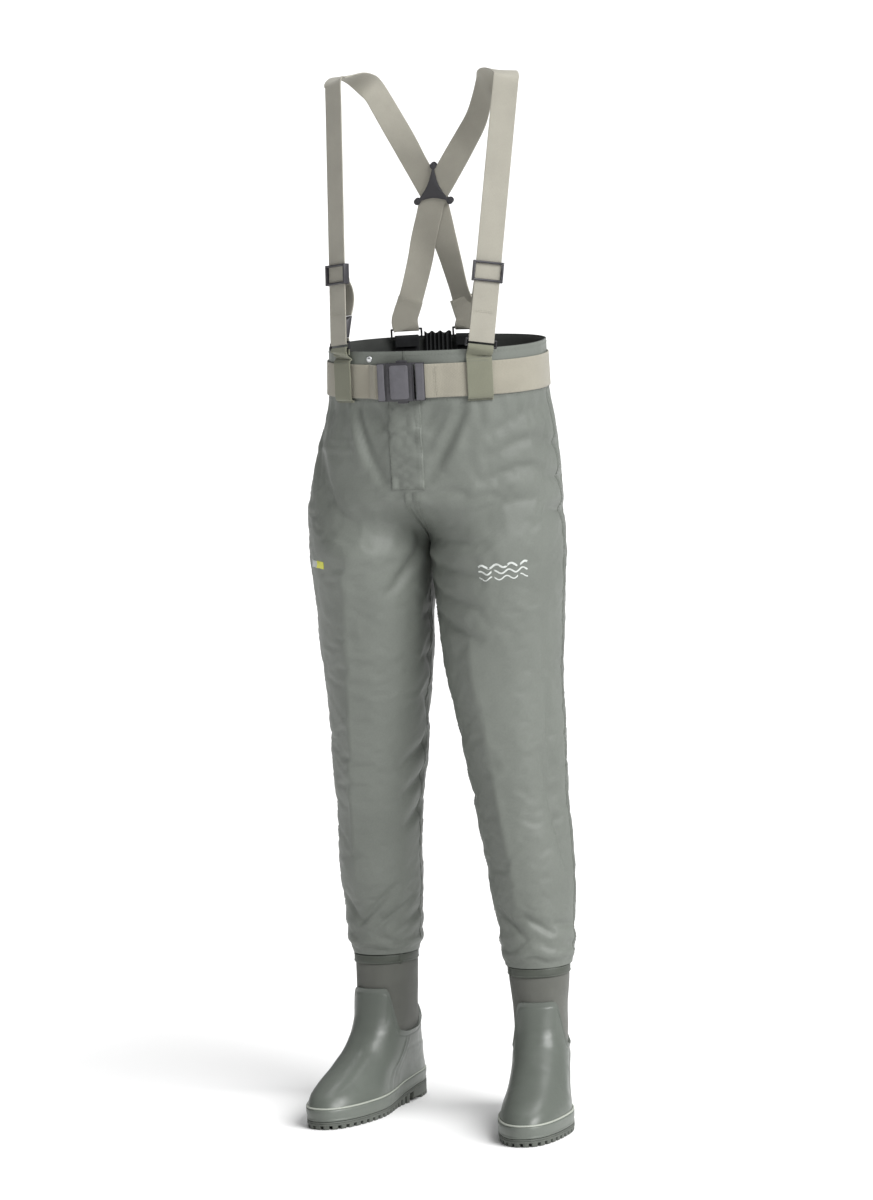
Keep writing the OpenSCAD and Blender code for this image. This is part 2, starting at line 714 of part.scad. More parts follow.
// A band round the boot between two heights and two offsets.
module boot_band(side, heights, out_high, out_low) {
  tube(
    [for (h = heights) [for (a = boot_angles) foot_point(side, h, a, out_high)]],
    [for (h = heights) [for (a = boot_angles) foot_point(side, h, a, out_low)]]
  );
}
rand_t = 2.6;
piping_h = 2.4;
piping_t = 1.6;
module boot_rand(side) {
  color(rubber_colour) placed() at_boot(side) boot_band(side, [0, 10, rand_h], gap + rand_t, gap);
}
module boot_rand_right() {
  boot_rand(RIGHT);
}
module boot_rand_left() {
  boot_rand(LEFT);
}
module boot_piping(side) {
  heights = [rand_h + 0.1, rand_h + 0.1 + piping_h];
  color(trim_colour) placed() at_boot(side) boot_band(side, heights, gap + piping_t, gap);
}
module boot_piping_right() {
  boot_piping(RIGHT);
}
module boot_piping_left() {
  boot_piping(LEFT);
}

shaft_heights = [74, 92, 112, 135, 158, 182, 200, 222, 242];
module neoprene_shaft(side) {
  far = -rubber_t - 2 * gap;
  color(neoprene_colour) placed() at_boot(side) boot_band(side, shaft_heights, far, far - neoprene_t);
}
module neoprene_shaft_right() {
  neoprene_shaft(RIGHT);
}
module neoprene_shaft_left() {
  neoprene_shaft(LEFT);
}

module cuff_tape(side) {
  far = -rubber_t - 2 * gap + 0.2;
  color(lining_colour) placed() at_boot(side) boot_band(side, [hem_z - 0.3 - tape_h, hem_z - 0.3], far + 1.6, far);
}
module cuff_tape_right() {
  cuff_tape(RIGHT);
}
module cuff_tape_left() {
  cuff_tape(LEFT);
}

// The back stay is a rubber strip up the back of the heel.
stay_heights = [24, 40, 58, 74, 92, 112, 135, 148];
stay_angles = [-20, -10, 0, 10, 20];
module back_stay(side) {
  color(rubber_colour) placed() at_boot(side) sheet(
    [for (h = stay_heights) [for (a = stay_angles) foot_point(side, h, a, 1.6)]],
    [for (h = stay_heights) [for (a = stay_angles) foot_point(side, h, a, 0.3)]]
  );
}
module back_stay_right() {
  back_stay(RIGHT);
}
module back_stay_left() {
  back_stay(LEFT);
}

// A level-sided slab of the foot's outline: it follows the foot bed between two offsets in height.
function slab_ring(side, s, out, low, high) =
  let (
    a = acos(1 - 2 * s),
    p = foot_point(side, 0, a, out),
    q = foot_point(side, 0, 360 - a, out)
  ) [
    [q.x, q.y, bed(q.y) + high],
    [p.x, p.y, bed(p.y) + high],
    [p.x, p.y, low < -90 ? 0 : bed(p.y) + low],
    [q.x, q.y, low < -90 ? 0 : bed(q.y) + low]
  ];
module slab(side, first, last, steps, out, low, high) {
  loft([for (a = span(acos(1 - 2 * first), acos(1 - 2 * last), steps))
    slab_ring(side, (1 - cos(a)) / 2, out, low, high)]);
}

sole_out = 3.6;
plate_h = 6;
lug_w = 9;
lug_inset = 2;
sole_lugs = [0.5, 0.56, 0.62, 0.68, 0.74, 0.8, 0.86, 0.92];
module sole_lug(side, s) {
  a = acos(1 - 2 * s);
  for (angle = [a, 360 - a]) {
    p = foot_point(side, 0, angle, sole_out - lug_inset);
    inward = angle < 180 ? 0 : -1;
    translate([p.x + inward * 26, p.y - lug_w / 2, 0]) cube([26, lug_w, 12 - plate_h + 1]);
  }
}
module outsole(side) {
  color(sole_colour) placed() at_boot(side) {
    slab(side, 0.004, 0.996, 24, sole_out, -plate_h, -0.4);
    intersection() {
      union() {
        for (s = sole_lugs) sole_lug(side, s);
        translate([-9, -222, 0]) cube([18, 26, 7]);
      }
      slab(side, 0.004, 0.996, 24, sole_out, -100, -3);
    }
  }
}
module outsole_right() {
  outsole(RIGHT);
}
module outsole_left() {
  outsole(LEFT);
}

heel_share = 0.25;
groove_w = 4;
module heel_block(side) {
  color(sole_colour) placed() at_boot(side) difference() {
    slab(side, 0.004, heel_share, 12, sole_out, -100, -plate_h - 0.15);
    for (y = [10, 26, 42, 58])
      for (x = [-60, 18])
        translate([x, y, -1]) cube([42, groove_w, lug_h + 1]);
  }
}
module heel_block_right() {
  heel_block(RIGHT);
}
module heel_block_left() {
  heel_block(LEFT);
}

module insole(side) {
  color(lining_colour) placed() at_boot(side) slab(side, 0.01, 0.99, 22, -rubber_t - 1.5, 0.2, 5);
}
module insole_right() {
  insole(RIGHT);
}
module insole_left() {
  insole(LEFT);
}

front_panel_right();
front_panel_left();
back_panel_right();
back_panel_left();
fly_flap();
waist_facing();
rear_elastic();
waist_snap();
belt_webbing();
belt_stretch();
buckle_female();
buckle_male();
latch_arm_upper();
latch_arm_lower();
belt_loop_right();
belt_loop_left();
rear_tab_right();
rear_tab_left();
front_ring_right();
front_ring_left();
rear_ring_right();
rear_ring_left();
strap_right();
strap_left();
strap_return_right();
strap_return_left();
strap_keeper_right();
strap_keeper_left();
adjuster_right();
adjuster_left();
crossback_front_plate();
crossback_back_plate();
crossback_pins();
boot_upper_right();
boot_upper_left();
boot_rand_right();
boot_rand_left();
boot_piping_right();
boot_piping_left();
outsole_right();
outsole_left();
heel_block_right();
heel_block_left();
insole_right();
insole_left();
neoprene_shaft_right();
neoprene_shaft_left();
cuff_tape_right();
cuff_tape_left();
back_stay_right();
back_stay_left();
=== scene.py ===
"""The looks of the waist-high waders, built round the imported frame.

Shapes are worked out in millimetres in the design's own axes: +Z is up, the front faces -Y and the wearer's
right is at -X. to_frame() brings them into the row frame, in metres.
"""
import json
import math

import bmesh
import bpy
import numpy as np
from mathutils import Matrix, Vector, noise


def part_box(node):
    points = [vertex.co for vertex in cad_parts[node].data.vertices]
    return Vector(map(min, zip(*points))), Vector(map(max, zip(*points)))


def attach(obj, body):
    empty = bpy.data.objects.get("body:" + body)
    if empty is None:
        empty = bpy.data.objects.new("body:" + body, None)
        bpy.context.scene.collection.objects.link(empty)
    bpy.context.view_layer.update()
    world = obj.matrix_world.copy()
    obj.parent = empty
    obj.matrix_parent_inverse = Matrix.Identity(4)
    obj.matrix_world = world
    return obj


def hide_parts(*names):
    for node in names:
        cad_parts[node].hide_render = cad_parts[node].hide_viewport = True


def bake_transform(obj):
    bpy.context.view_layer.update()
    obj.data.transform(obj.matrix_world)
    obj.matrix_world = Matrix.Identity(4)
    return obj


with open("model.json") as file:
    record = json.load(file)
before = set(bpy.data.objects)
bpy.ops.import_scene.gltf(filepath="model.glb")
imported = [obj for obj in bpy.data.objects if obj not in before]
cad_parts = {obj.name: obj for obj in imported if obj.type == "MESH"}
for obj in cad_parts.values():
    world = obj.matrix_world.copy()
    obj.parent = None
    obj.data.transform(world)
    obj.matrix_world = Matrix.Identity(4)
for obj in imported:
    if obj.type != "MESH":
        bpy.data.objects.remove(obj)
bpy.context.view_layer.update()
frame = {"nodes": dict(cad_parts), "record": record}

MM = 0.001
SHIFT = np.array([12.6, 77.8, 0.0])
RIGHT, LEFT = 0, 1
SIDES = ("right", "left")
SIGN = (-1, 1)


# ---- Small functions --------------------------------------------------------
def to_frame(points):
    return (np.asarray(points, float) + SHIFT) * MM


def frame_point(point):
    return tuple(float(x) for x in to_frame(point))


def mix(a, b, t):
    return a + (b - a) * t


def ease(t):
    u = np.clip(t, 0, 1)
    return u * u * (3 - 2 * u)


def spow(value, power):
    return np.sign(value) * np.abs(value) ** power


def lookup(z, table):
    xs, ys = zip(*table)
    return np.interp(z, xs, ys)


def unit(v):
    v = np.asarray(v, float)
    return v / np.maximum(np.linalg.norm(v, axis=-1, keepdims=True), 1e-9)


def bump(x, centre, half):
    """1 at the centre and 0 beyond half on either side, smooth."""
    return ease(1 - np.abs((x - centre) / half))


def wander(value, seed):
    """A smooth wandering number between about -1 and 1."""
    flat = np.asarray(value, float).ravel()
    found = [noise.noise(Vector((v, seed * 7.31, 0.37))) * 1.6 for v in flat]
    return np.array(found).reshape(np.shape(value))


def lumps(points, size, seed):
    """Smooth noise over an array of points, about -1 to 1."""
    flat = np.asarray(points, float).reshape(-1, 3) / size + seed * 3.17
    return np.array([noise.noise(Vector(p)) for p in flat.tolist()]).reshape(np.shape(points)[:-1]) * 1.6


def spline(points, steps):
    """Points on a smooth line through the given ones."""
    p = np.asarray(points, float)
    p = np.vstack([2 * p[0] - p[1], p, 2 * p[-1] - p[-2]])
    out = []
    for i in range(1, len(p) - 2):
        for u in np.linspace(0, 1, steps, endpoint=False):
            a, b, c, d = p[i - 1], p[i], p[i + 1], p[i + 2]
            square = (2 * a - 5 * b + 4 * c - d) * u**2
            cube = (3 * b - a - 3 * c + d) * u**3
            out.append(0.5 * (2 * b + (c - a) * u + square + cube))
    return np.array(out + [p[-2]])


def running_length(points):
    steps = np.linalg.norm(np.diff(points, axis=0), axis=1)
    return np.concatenate([[0], np.cumsum(steps)])


def respaced(points, *others, step):
    """The line at even steps, with the other arrays taken along."""
    along = running_length(points)
    count = max(2, int(round(along[-1] / step)) + 1)
    places = np.linspace(0, along[-1], count)
    taken = [
        np.stack([np.interp(places, along, a[:, k]) for k in range(a.shape[1])], 1)
        for a in (points, *others)
    ]
    return (*taken, places)


# ---- Meshes -------------------------------------------------------------------
class Solid:
    """Points, faces and texture places for one object, all in millimetres."""

    def __init__(self):
        self.points, self.faces, self.places, self.count = [], [], [], 0

    def add(self, points, faces, places):
        points = np.asarray(points, float).reshape(-1, 3)
        self.points.append(points)
        self.faces += [[i + self.count for i in face] for face in faces]
        self.places += places
        self.count += len(points)

    def grid(self, points, places, wrap=False, flip=False):
        """One open skin. Rows go up and columns to the right, as seen from outside."""
        rows, cols = points.shape[:2]
        faces, spots = [], []
        across = cols if wrap else cols - 1
        place = places.tolist()
        for r in range(rows - 1):
            for c in range(across):
                corners = [(r, c), (r, c + 1), (r + 1, c + 1), (r + 1, c)]
                if flip:
                    corners.reverse()
                faces.append([i * cols + j % cols for i, j in corners])
                spots += [place[i][j] for i, j in corners]
        self.add(points, faces, spots)

    def sheet(self, outer, inner, places, wrap=False):
        """A closed sheet between an outer and an inner grid."""
        start = self.count
        rows, cols = outer.shape[:2]
        self.grid(outer, places, wrap)
        self.grid(inner, places, wrap, flip=True)
        place = places.tolist()
        base = start + rows * cols
        rim = []
        for c in range(cols if wrap else cols - 1):
            d = (c + 1) % cols
            top = (rows - 1) * cols
            rim.append(([start + d, start + c, base + c, base + d], place[0][c]))
            rim.append(([start + top + c, start + top + d, base + top + d, base + top + c], place[-1][c]))
        if not wrap:
            for r in range(rows - 1):
                a, b = r * cols, (r + 1) * cols
                e, g = a + cols - 1, b + cols - 1
                rim.append(([start + a, start + b, base + b, base + a], place[r][0]))
                rim.append(([start + g, start + e, base + e, base + g], place[r][-1]))
        for face, spot in rim:
            self.faces.append(face)
            self.places += [spot] * 4

    def tube(self, rings, places):
        """A closed solid through a list of rings."""
        rings = np.asarray(rings, float)
        rows, cols = rings.shape[:2]
        start = self.count
        self.grid(rings, places, wrap=True)
        last = start + (rows - 1) * cols
        self.faces += [list(range(start + cols - 1, start - 1, -1)), list(range(last, last + cols))]
        place = places.tolist()
        self.places += [place[0][0]] * cols + [place[-1][0]] * cols

    def block(self, corners):
        """A six-sided block: four corners below, then four above, each counter-clockwise from above."""
        faces = [[3, 2, 1, 0], [4, 5, 6, 7], [0, 1, 5, 4], [1, 2, 6, 5], [2, 3, 7, 6], [3, 0, 4, 7]]
        corners = np.asarray(corners, float)
        self.add(corners, faces, [(corners[i][0], corners[i][2]) for face in faces for i in face])

    def build(self, name, material, body="root", slot=None, stands_for=(), sharp=40, bevel=0.0):
        mesh = bpy.data.meshes.new(name)
        mesh.from_pydata(to_frame(np.vstack(self.points)).tolist(), [], self.faces)
        layer = mesh.uv_layers.new(name="UVMap")
        layer.data.foreach_set("uv", (np.array(self.places, float) * MM).ravel())
        return finish_piece(name, mesh, material, body, stands_for, sharp, bevel)


def finish_piece(name, mesh, material, body, stands_for, sharp, bevel):
    """Turns a mesh into a shaded piece that rides on its body."""
    obj = bpy.data.objects.new(name, mesh)
    bpy.context.scene.collection.objects.link(obj)
    if bevel:
        made = obj.modifiers.new("edges", "BEVEL")
        made.width = bevel * MM
        made.segments = 2
        made.limit_method = "ANGLE"
        made.angle_limit = math.radians(35)
        bpy.context.view_layer.update()
        shaped = obj.evaluated_get(bpy.context.evaluated_depsgraph_get())
        obj.modifiers.clear()
        mesh = bpy.data.meshes.new_from_object(shaped)
        mesh.name = name
        obj.data = mesh
        obj.modifiers.clear()
    mesh = obj.data
    mesh.polygons.foreach_set("use_smooth", [True] * len(mesh.polygons))
    mesh.set_sharp_from_angle(angle=math.radians(sharp))
    mesh.materials.clear()
    mesh.materials.append(material)
    if body:
        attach(obj, body)
    if stands_for:
        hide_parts(*stands_for)
    return obj


def refined(node, material, body, bevel, sharp=35):
    """A copy of a hard CAD part with rounded edges, which stands for it."""
    build = bmesh.new()
    build.from_mesh(frame["nodes"][node].data)
    bmesh.ops.remove_doubles(build, verts=build.verts, dist=1e-6)
    bmesh.ops.dissolve_limit(build, angle_limit=math.radians(1), verts=build.verts, edges=build.edges)
    mesh = bpy.data.meshes.new(node + "_shape")
    build.to_mesh(mesh)
    build.free()
    return finish_piece(node + "_shape", mesh, material, body, [node], sharp, bevel)


def even_places(outer):
    """Texture places from distances along the rows and columns."""
    rows = np.linalg.norm(np.diff(outer, axis=0), axis=2)
    cols = np.linalg.norm(np.diff(outer, axis=1), axis=2)
    up = np.vstack([np.zeros((1, outer.shape[1])), np.cumsum(rows, 0)])
    right = np.hstack([np.zeros((outer.shape[0], 1)), np.cumsum(cols, 1)])
    return np.dstack([right, up])


def wrapped_places(outer):
    """Places for a closed band: one more column, so that the seam doesn't run back."""
    return even_places(np.concatenate([outer, outer[:, :1]], axis=1))


# ---- Materials ----------------------------------------------------------------
def linear(*srgb):
    return [((c / 255 + 0.055) / 1.055) ** 2.4 if c > 10 else c / 255 / 12.92 for c in srgb] + [1.0]


class Paint:
    """A node material put together in short steps."""

    def __init__(self, name, roughness=0.7, metallic=0.0, sheen=0.0, specular=0.5, coat=0.0):
        self.material = bpy.data.materials.new(name)
        self.material.use_nodes = True
        self.tree = self.material.node_tree
        self.shader = self.tree.nodes["Principled BSDF"]
        values = {"Roughness": roughness, "Metallic": metallic, "Sheen Weight": sheen,
                  "Specular IOR Level": specular, "Coat Weight": coat}
        for key, value in values.items():
            self.shader.inputs[key].default_value = value

    def node(self, kind, inputs=None, **settings):
        made = self.tree.nodes.new("ShaderNode" + kind)
        for key, value in settings.items():
            setattr(made, key, value)
        for key, value in (inputs or {}).items():
            socket = made.inputs[key]
            if isinstance(value, bpy.types.NodeSocket):
                self.tree.links.new(value, socket)
            else:
                socket.default_value = value
        return made

    def math(self, operation, a, b=0.0, c=0.0):
        return self.node("Math", {0: a, 1: b, 2: c}, operation=operation).outputs[0]

    def place(self, kind="Object"):
        return self.node("TexCoord").outputs[kind]

    def noise(self, scale, detail=3.0, rough=0.5, place="Object"):
        inputs = {"Vector": self.place(place), "Scale": scale, "Detail": detail, "Roughness": rough}
        return self.node("TexNoise", inputs).outputs["Fac"]

    def spread(self, value, low, high):
        """Maps the middle of a 0 to 1 value onto low to high."""
        inputs = {"Value": value, "From Min": 0.3, "From Max": 0.7, "To Min": low, "To Max": high}
        return self.node("MapRange", inputs).outputs["Result"]

    def waves(self, pitch_u, pitch_v):
        """Two threads crossing, 0 to 1, from texture places in metres."""
        split = self.node("SeparateXYZ", {0: self.place("UV")})
        turn = 2 * math.pi
        u = self.math("SINE", self.math("MULTIPLY", split.outputs[0], turn / pitch_u))
        v = self.math("SINE", self.math("MULTIPLY", split.outputs[1], turn / pitch_v))
        return self.math("MULTIPLY_ADD", self.math("MULTIPLY", u, v), 0.5, 0.5)

    def chevrons(self, pitch_u, pitch_v):
        """Herringbone ribs of webbing, 0 to 1."""
        split = self.node("SeparateXYZ", {0: self.place("UV")})
        zigzag = self.math("PINGPONG", self.math("DIVIDE", split.outputs[0], pitch_u), 0.5)
        rise = self.math("DIVIDE", split.outputs[1], pitch_v)
        along = self.math("ADD", rise, self.math("MULTIPLY", zigzag, 1.6))
        ribs = self.math("SINE", self.math("MULTIPLY", along, 2 * math.pi))
        return self.math("MULTIPLY_ADD", ribs, 0.5, 0.5)

    def colour(self, base, *shades):
        """Multiplies the base colour by each shade."""
        value = shades[0]
        for shade in shades[1:]:
            value = self.math("MULTIPLY", value, shade)
        inputs = {"Vector": base[:3], "Scale": value}
        scaled = self.node("VectorMath", inputs, operation="SCALE").outputs[0]
        self.tree.links.new(scaled, self.shader.inputs["Base Color"])
        return scaled

    def tint(self, scaled, other, factor):
        """Mixes another colour in where the factor is high."""
        inputs = {"Factor": factor, "A": scaled, "B": other}
        mixer = self.tree.nodes.new("ShaderNodeMix")
        mixer.data_type = "RGBA"
        sockets = {"Factor": mixer.inputs[0], "A": mixer.inputs[6], "B": mixer.inputs[7]}
        for key, value in inputs.items():
            if isinstance(value, bpy.types.NodeSocket):
                self.tree.links.new(value, sockets[key])
            else:
                sockets[key].default_value = value
        self.tree.links.new(mixer.outputs[2], self.shader.inputs["Base Color"])
        return mixer.outputs[2]

    def roughness(self, value):
        self.tree.links.new(value, self.shader.inputs["Roughness"])

    def relief(self, *layers):
        """Stacks bumps: each layer is (height, depth in metres, strength)."""
        normal = None
        for height, depth, strength in layers:
            inputs = {"Height": height, "Distance": depth, "Strength": strength}
            if normal is not None:
                inputs["Normal"] = normal
            normal = self.node("Bump", inputs).outputs[0]
        self.tree.links.new(normal, self.shader.inputs["Normal"])


def laminate(name, base):
    p = Paint(name, sheen=0.03, specular=0.42)
    weave = p.waves(0.0011, 0.0009)
    cloud = p.noise(9, 4)
    slub = p.noise(420, 2)
    p.colour(base, p.spread(cloud, 0.94, 1.05), p.spread(slub, 0.955, 1.04), p.spread(weave, 0.97, 1.02))
    p.roughness(p.spread(cloud, 0.58, 0.48))
    p.relief((weave, 0.00012, 0.35), (p.noise(60, 4), 0.0006, 0.3), (slub, 0.00015, 0.3))
    return p.material


def webbing_paint(name, base, pitch_u=0.0036, pitch_v=0.0019):
    p = Paint(name, roughness=0.78, sheen=0.2, specular=0.3)
    ribs = p.chevrons(pitch_u, pitch_v)
    cloud = p.noise(24, 3)
    fuzz = p.noise(900, 2)
    p.colour(base, p.spread(cloud, 0.93, 1.04), p.spread(ribs, 0.86, 1.05), p.spread(fuzz, 0.95, 1.04))
    p.relief((ribs, 0.00035, 0.7), (fuzz, 0.0002, 0.35))
    return p.material


def lining_paint():
    p = Paint("lining_fabric", roughness=0.85, sheen=0.15, specular=0.25)
    weave = p.waves(0.0016, 0.0016)
    cloud = p.noise(30, 3)
    p.colour(linear(58, 60, 58), p.spread(cloud, 0.8, 1.15), p.spread(weave, 0.85, 1.08))
    p.relief((weave, 0.0002, 0.5), (cloud, 0.001, 0.3))
    return p.material


def elastic_paint():
    p = Paint("ruffled_elastic", roughness=0.9, sheen=0.1, specular=0.2)
    ribs = p.waves(0.0016, 0.004)
    cloud = p.noise(60, 3)
    p.colour(linear(34, 35, 36), p.spread(cloud, 0.75, 1.2), p.spread(ribs, 0.8, 1.1))
    p.relief((ribs, 0.0003, 0.6), (cloud, 0.0006, 0.3))
    return p.material


def plastic_paint(name, base, rough):
    p = Paint(name, specular=0.5)
    grain = p.noise(1400, 2)
    scuff = p.noise(90, 5, 0.7)
    p.colour(base, p.spread(scuff, 0.9, 1.12), p.spread(grain, 0.96, 1.04))
    p.roughness(p.spread(scuff, rough - 0.07, rough + 0.1))
    p.relief((grain, 0.00008, 0.35), (scuff, 0.0002, 0.15))
    return p.material


def rubber_paint(name, base, rough, scuffs=1.0):
    p = Paint(name, specular=0.5)
    skin = p.noise(700, 2)
    cloud = p.noise(14, 4)
    scuff = p.noise(75, 5, 0.72)
    scaled = p.colour(base, p.spread(cloud, 0.93, 1.06), p.spread(skin, 0.97, 1.03))
    height = p.node("SeparateXYZ", {0: p.place()}).outputs[2]
    low = {"Value": height, "From Min": 0.0, "From Max": 0.05, "To Min": 0.22, "To Max": 0.0}
    dust = p.math("MULTIPLY", p.node("MapRange", low).outputs["Result"], p.spread(scuff, 0.0, 1.0))
    p.tint(scaled, linear(150, 152, 140), p.math("MULTIPLY", dust, 0.35 * scuffs))
    p.roughness(p.spread(scuff, rough - 0.06, rough + 0.12))
    p.relief((skin, 0.0001, 0.3), (cloud, 0.0008, 0.25), (scuff, 0.0002, 0.2))
    return p.material


def neoprene_paint():
    p = Paint("neoprene", sheen=0.15, specular=0.25)
    knit = p.waves(0.0013, 0.0017)
    cloud = p.noise(22, 3)
    p.colour(linear(91, 92, 87), p.spread(cloud, 0.92, 1.06), p.spread(knit, 0.9, 1.05))
    p.roughness(p.spread(cloud, 0.82, 0.7))
    p.relief((knit, 0.0002, 0.5), (cloud, 0.0012, 0.35))
    return p.material


def foam_paint():
    p = Paint("insole_foam", roughness=0.95, specular=0.2)
    felt = p.noise(1100, 4, 0.7)
    cloud = p.noise(40, 2)
    p.colour(linear(70, 71, 68), p.spread(felt, 0.75, 1.2), p.spread(cloud, 0.92, 1.06))
    p.relief((felt, 0.0004, 0.6))
    return p.material


def metal_paint(name, base, rough, metallic=1.0):
    p = Paint(name, metallic=metallic)
    scratch = p.noise(260, 5, 0.75)
    p.colour(base, p.spread(scratch, 0.88, 1.08))
    p.roughness(p.spread(scratch, rough - 0.05, rough + 0.12))
    p.relief((scratch, 0.00005, 0.3))
    return p.material


def print_paint(name, base):
    p = Paint(name, roughness=0.55, specular=0.4)
    crackle = p.noise(520, 4, 0.7)
    p.colour(base, p.spread(crackle, 0.86, 1.05))
    p.relief((crackle, 0.0001, 0.4))
    return p.material


def thread_paint(name, base):
    p = Paint(name, roughness=0.75, sheen=0.2)
    ply = p.noise(1600, 2)
    p.colour(base, p.spread(ply, 0.8, 1.1))
    p.relief((ply, 0.0001, 0.5))
    return p.material


FABRIC = laminate("trouser_laminate", linear(105, 109, 103))
FABRIC_SEAM = laminate("trouser_seam", linear(99, 103, 97))
STRAP = webbing_paint("strap_webbing", linear(158, 155, 144))
BELT = webbing_paint("belt_webbing", linear(150, 146, 133), 0.0042, 0.0021)
LOOP = webbing_paint("loop_webbing", linear(120, 121, 105), 0.0036, 0.0017)
LINING = lining_paint()
ELASTIC = elastic_paint()
PLASTIC = plastic_paint("black_plastic", linear(48, 47, 51), 0.42)
# Painted highlight: a lighter copy of the black buckle plastic, standing in for light reflected off the
# buckle's raised plates and bars.
PAINTED_HIGHLIGHT_PLASTIC = plastic_paint("buckle_plastic_painted_highlight", linear(84, 83, 88), 0.5)
WIRE = metal_paint("ring_wire", linear(40, 40, 42), 0.35, 0.4)
CHROME = metal_paint("snap_metal", linear(205, 207, 208), 0.22)
RUBBER = rubber_paint("boot_rubber", linear(90, 95, 89), 0.34)
RAND = rubber_paint("rand_rubber", linear(98, 103, 97), 0.42)
PIPING = rubber_paint("piping_rubber", linear(158, 162, 153), 0.5)
SOLE = rubber_paint("sole_rubber", linear(78, 82, 77), 0.62, 2.0)
NEOPRENE = neoprene_paint()
FOAM = foam_paint()
TAPE = laminate("seam_tape", linear(68, 72, 65))
THREAD = thread_paint("seam_thread", linear(112, 117, 109))
THREAD_LIGHT = thread_paint("webbing_thread", linear(160, 157, 144))
PRINT = print_paint("thigh_print", linear(196, 200, 196))
TAG_GREY = print_paint("tag_grey", linear(176, 180, 178))
TAG_YELLOW = print_paint("tag_yellow", linear(206, 206, 74))

CAD_PAINT = {"insole_foam": FOAM, "ring_wire": WIRE, "black_plastic": PLASTIC}


# ---- The trousers' surface -----------------------------------------------------
SEAM_X = -12
HEM_Z, WAIST_Z = 232.3, 1157
HIP_RIGHT = [(711, 191), (801, 197), (921, 194), (951, 188), (1011, 174), (1071, 154), (1157, 150)]
HIP_LEFT = [(711, 179), (801, 192), (861, 189), (951, 188), (1011, 184), (1071, 175), (1157, 174)]
HIP_FRONT = [(830, 104), (921, 118), (1011, 122), (1088, 119), (1157, 118)]
HIP_BACK = [(830, 108), (921, 130), (1011, 128), (1071, 119), (1157, 118)]
HIP_POWER = 2.3
LEG_X = [
    [(232, -130), (380, -127), (470, -121), (560, -114), (681, -107), (850, -103), (930, -103)],
    [(232, 132), (380, 125), (470, 113), (560, 104), (681, 92), (850, 88.5), (930, 88.5)],
]
LEG_Y = [
    [(232, 60), (380, 45), (560, 27), (711, 13), (850, 0), (930, 0)],
    [(232, -60), (380, -45), (560, -27), (711, -13), (850, 0), (930, 0)],
]
LEG_A = [
    [(232, 54), (290, 57), (350, 62), (470, 65), (530, 71), (620, 77), (711, 85), (850, 91), (930, 91)],
    [(232, 54), (290, 57), (350, 63), (470, 70), (530, 74), (620, 83), (711, 91), (850, 100.5),
     (930, 100.5)],
]
LEG_B = [(232, 56), (290, 60), (350, 66), (500, 75), (681, 94), (850, 115), (930, 122)]
CROTCH_LOW, CROTCH_HIGH = 850, 940
GAP = 0.3


def hip_mid(z):
    return (lookup(z, HIP_LEFT) - lookup(z, HIP_RIGHT)) / 2


def hip_half(z):
    return (lookup(z, HIP_LEFT) + lookup(z, HIP_RIGHT)) / 2


def hip_point(z, angle, out):
    """A point on the hips at an angle in degrees, grown outward by out."""
    z, angle, out = np.broadcast_arrays(np.asarray(z, float), angle, out)
    c, s = np.cos(np.radians(angle)), np.sin(np.radians(angle))
    depth = np.where(s < 0, lookup(z, HIP_FRONT), lookup(z, HIP_BACK))
    x = hip_mid(z) + (hip_half(z) + out) * spow(c, 2 / HIP_POWER)
    return np.stack([x, (depth + out) * spow(s, 2 / HIP_POWER), z], -1)


def hip_angle(z, x):
    share = (x - hip_mid(z)) / hip_half(z)
    return -np.degrees(np.arccos(spow(share, HIP_POWER / 2)))


def cloth_base(side, z, t, out=0.0):
    """One half of the trousers: t runs from the front seam round the outseam to the back seam."""
    z, t = np.broadcast_arrays(np.asarray(z, float), t)
    angle = np.radians(-360 * t if side == RIGHT else 180 + 360 * t)
    leg = np.stack([
        lookup(z, LEG_X[side]) + (lookup(z, LEG_A[side]) + out) * np.cos(angle),
        lookup(z, LEG_Y[side]) + (lookup(z, LEG_B) + out) * np.sin(angle),
        z,
    ], -1)
    front = hip_angle(z, SEAM_X)
    turn = front - 2 * (180 + front) * t if side == RIGHT else front - 2 * front * t
    share = ease((z - CROTCH_LOW) / (CROTCH_HIGH - CROTCH_LOW))[..., None]
    return mix(leg, hip_point(z, turn, out), share) + [SIGN[side] * GAP / 2, 0, 0]


def front_place(z, x):
    """The half and the t at which the front crosses x, above the crotch."""
    side = RIGHT if x < SEAM_X else LEFT
    front, angle = hip_angle(z, SEAM_X), hip_angle(z, x)
    t = (front - angle) / (2 * (180 + front)) if side == RIGHT else (front - angle) / (2 * front)
    return side, float(t)


HALF_LENGTH = [(232, 349), (400, 420), (600, 515), (800, 635), (850, 640), (900, 526),
               (1000, 496), (1157, 455)]


def half_length(z):
    """How far it is round one half of the trousers, roughly."""
    return lookup(z, HALF_LENGTH)


# A fold is (points as (t, z), height, gentle width, steep width, sharpness).
# Its left side is the gentle one.
SOFT, CRISP = 1.5, 1.0


def fan(count, first, last, height, gentle, steep, sharpness=SOFT, bow=0):
    """Folds whose two ends step evenly from the first fold's ends to the last fold's, with bowed middles."""
    made = []
    for share in np.linspace(0, 1, count):
        start, end = (mix(np.array(a, float), np.array(b, float), share) for a, b in zip(first, last))
        made.append(([start, (start + end) / 2 + [0, bow], end], height, gentle, steep, sharpness))
    return made


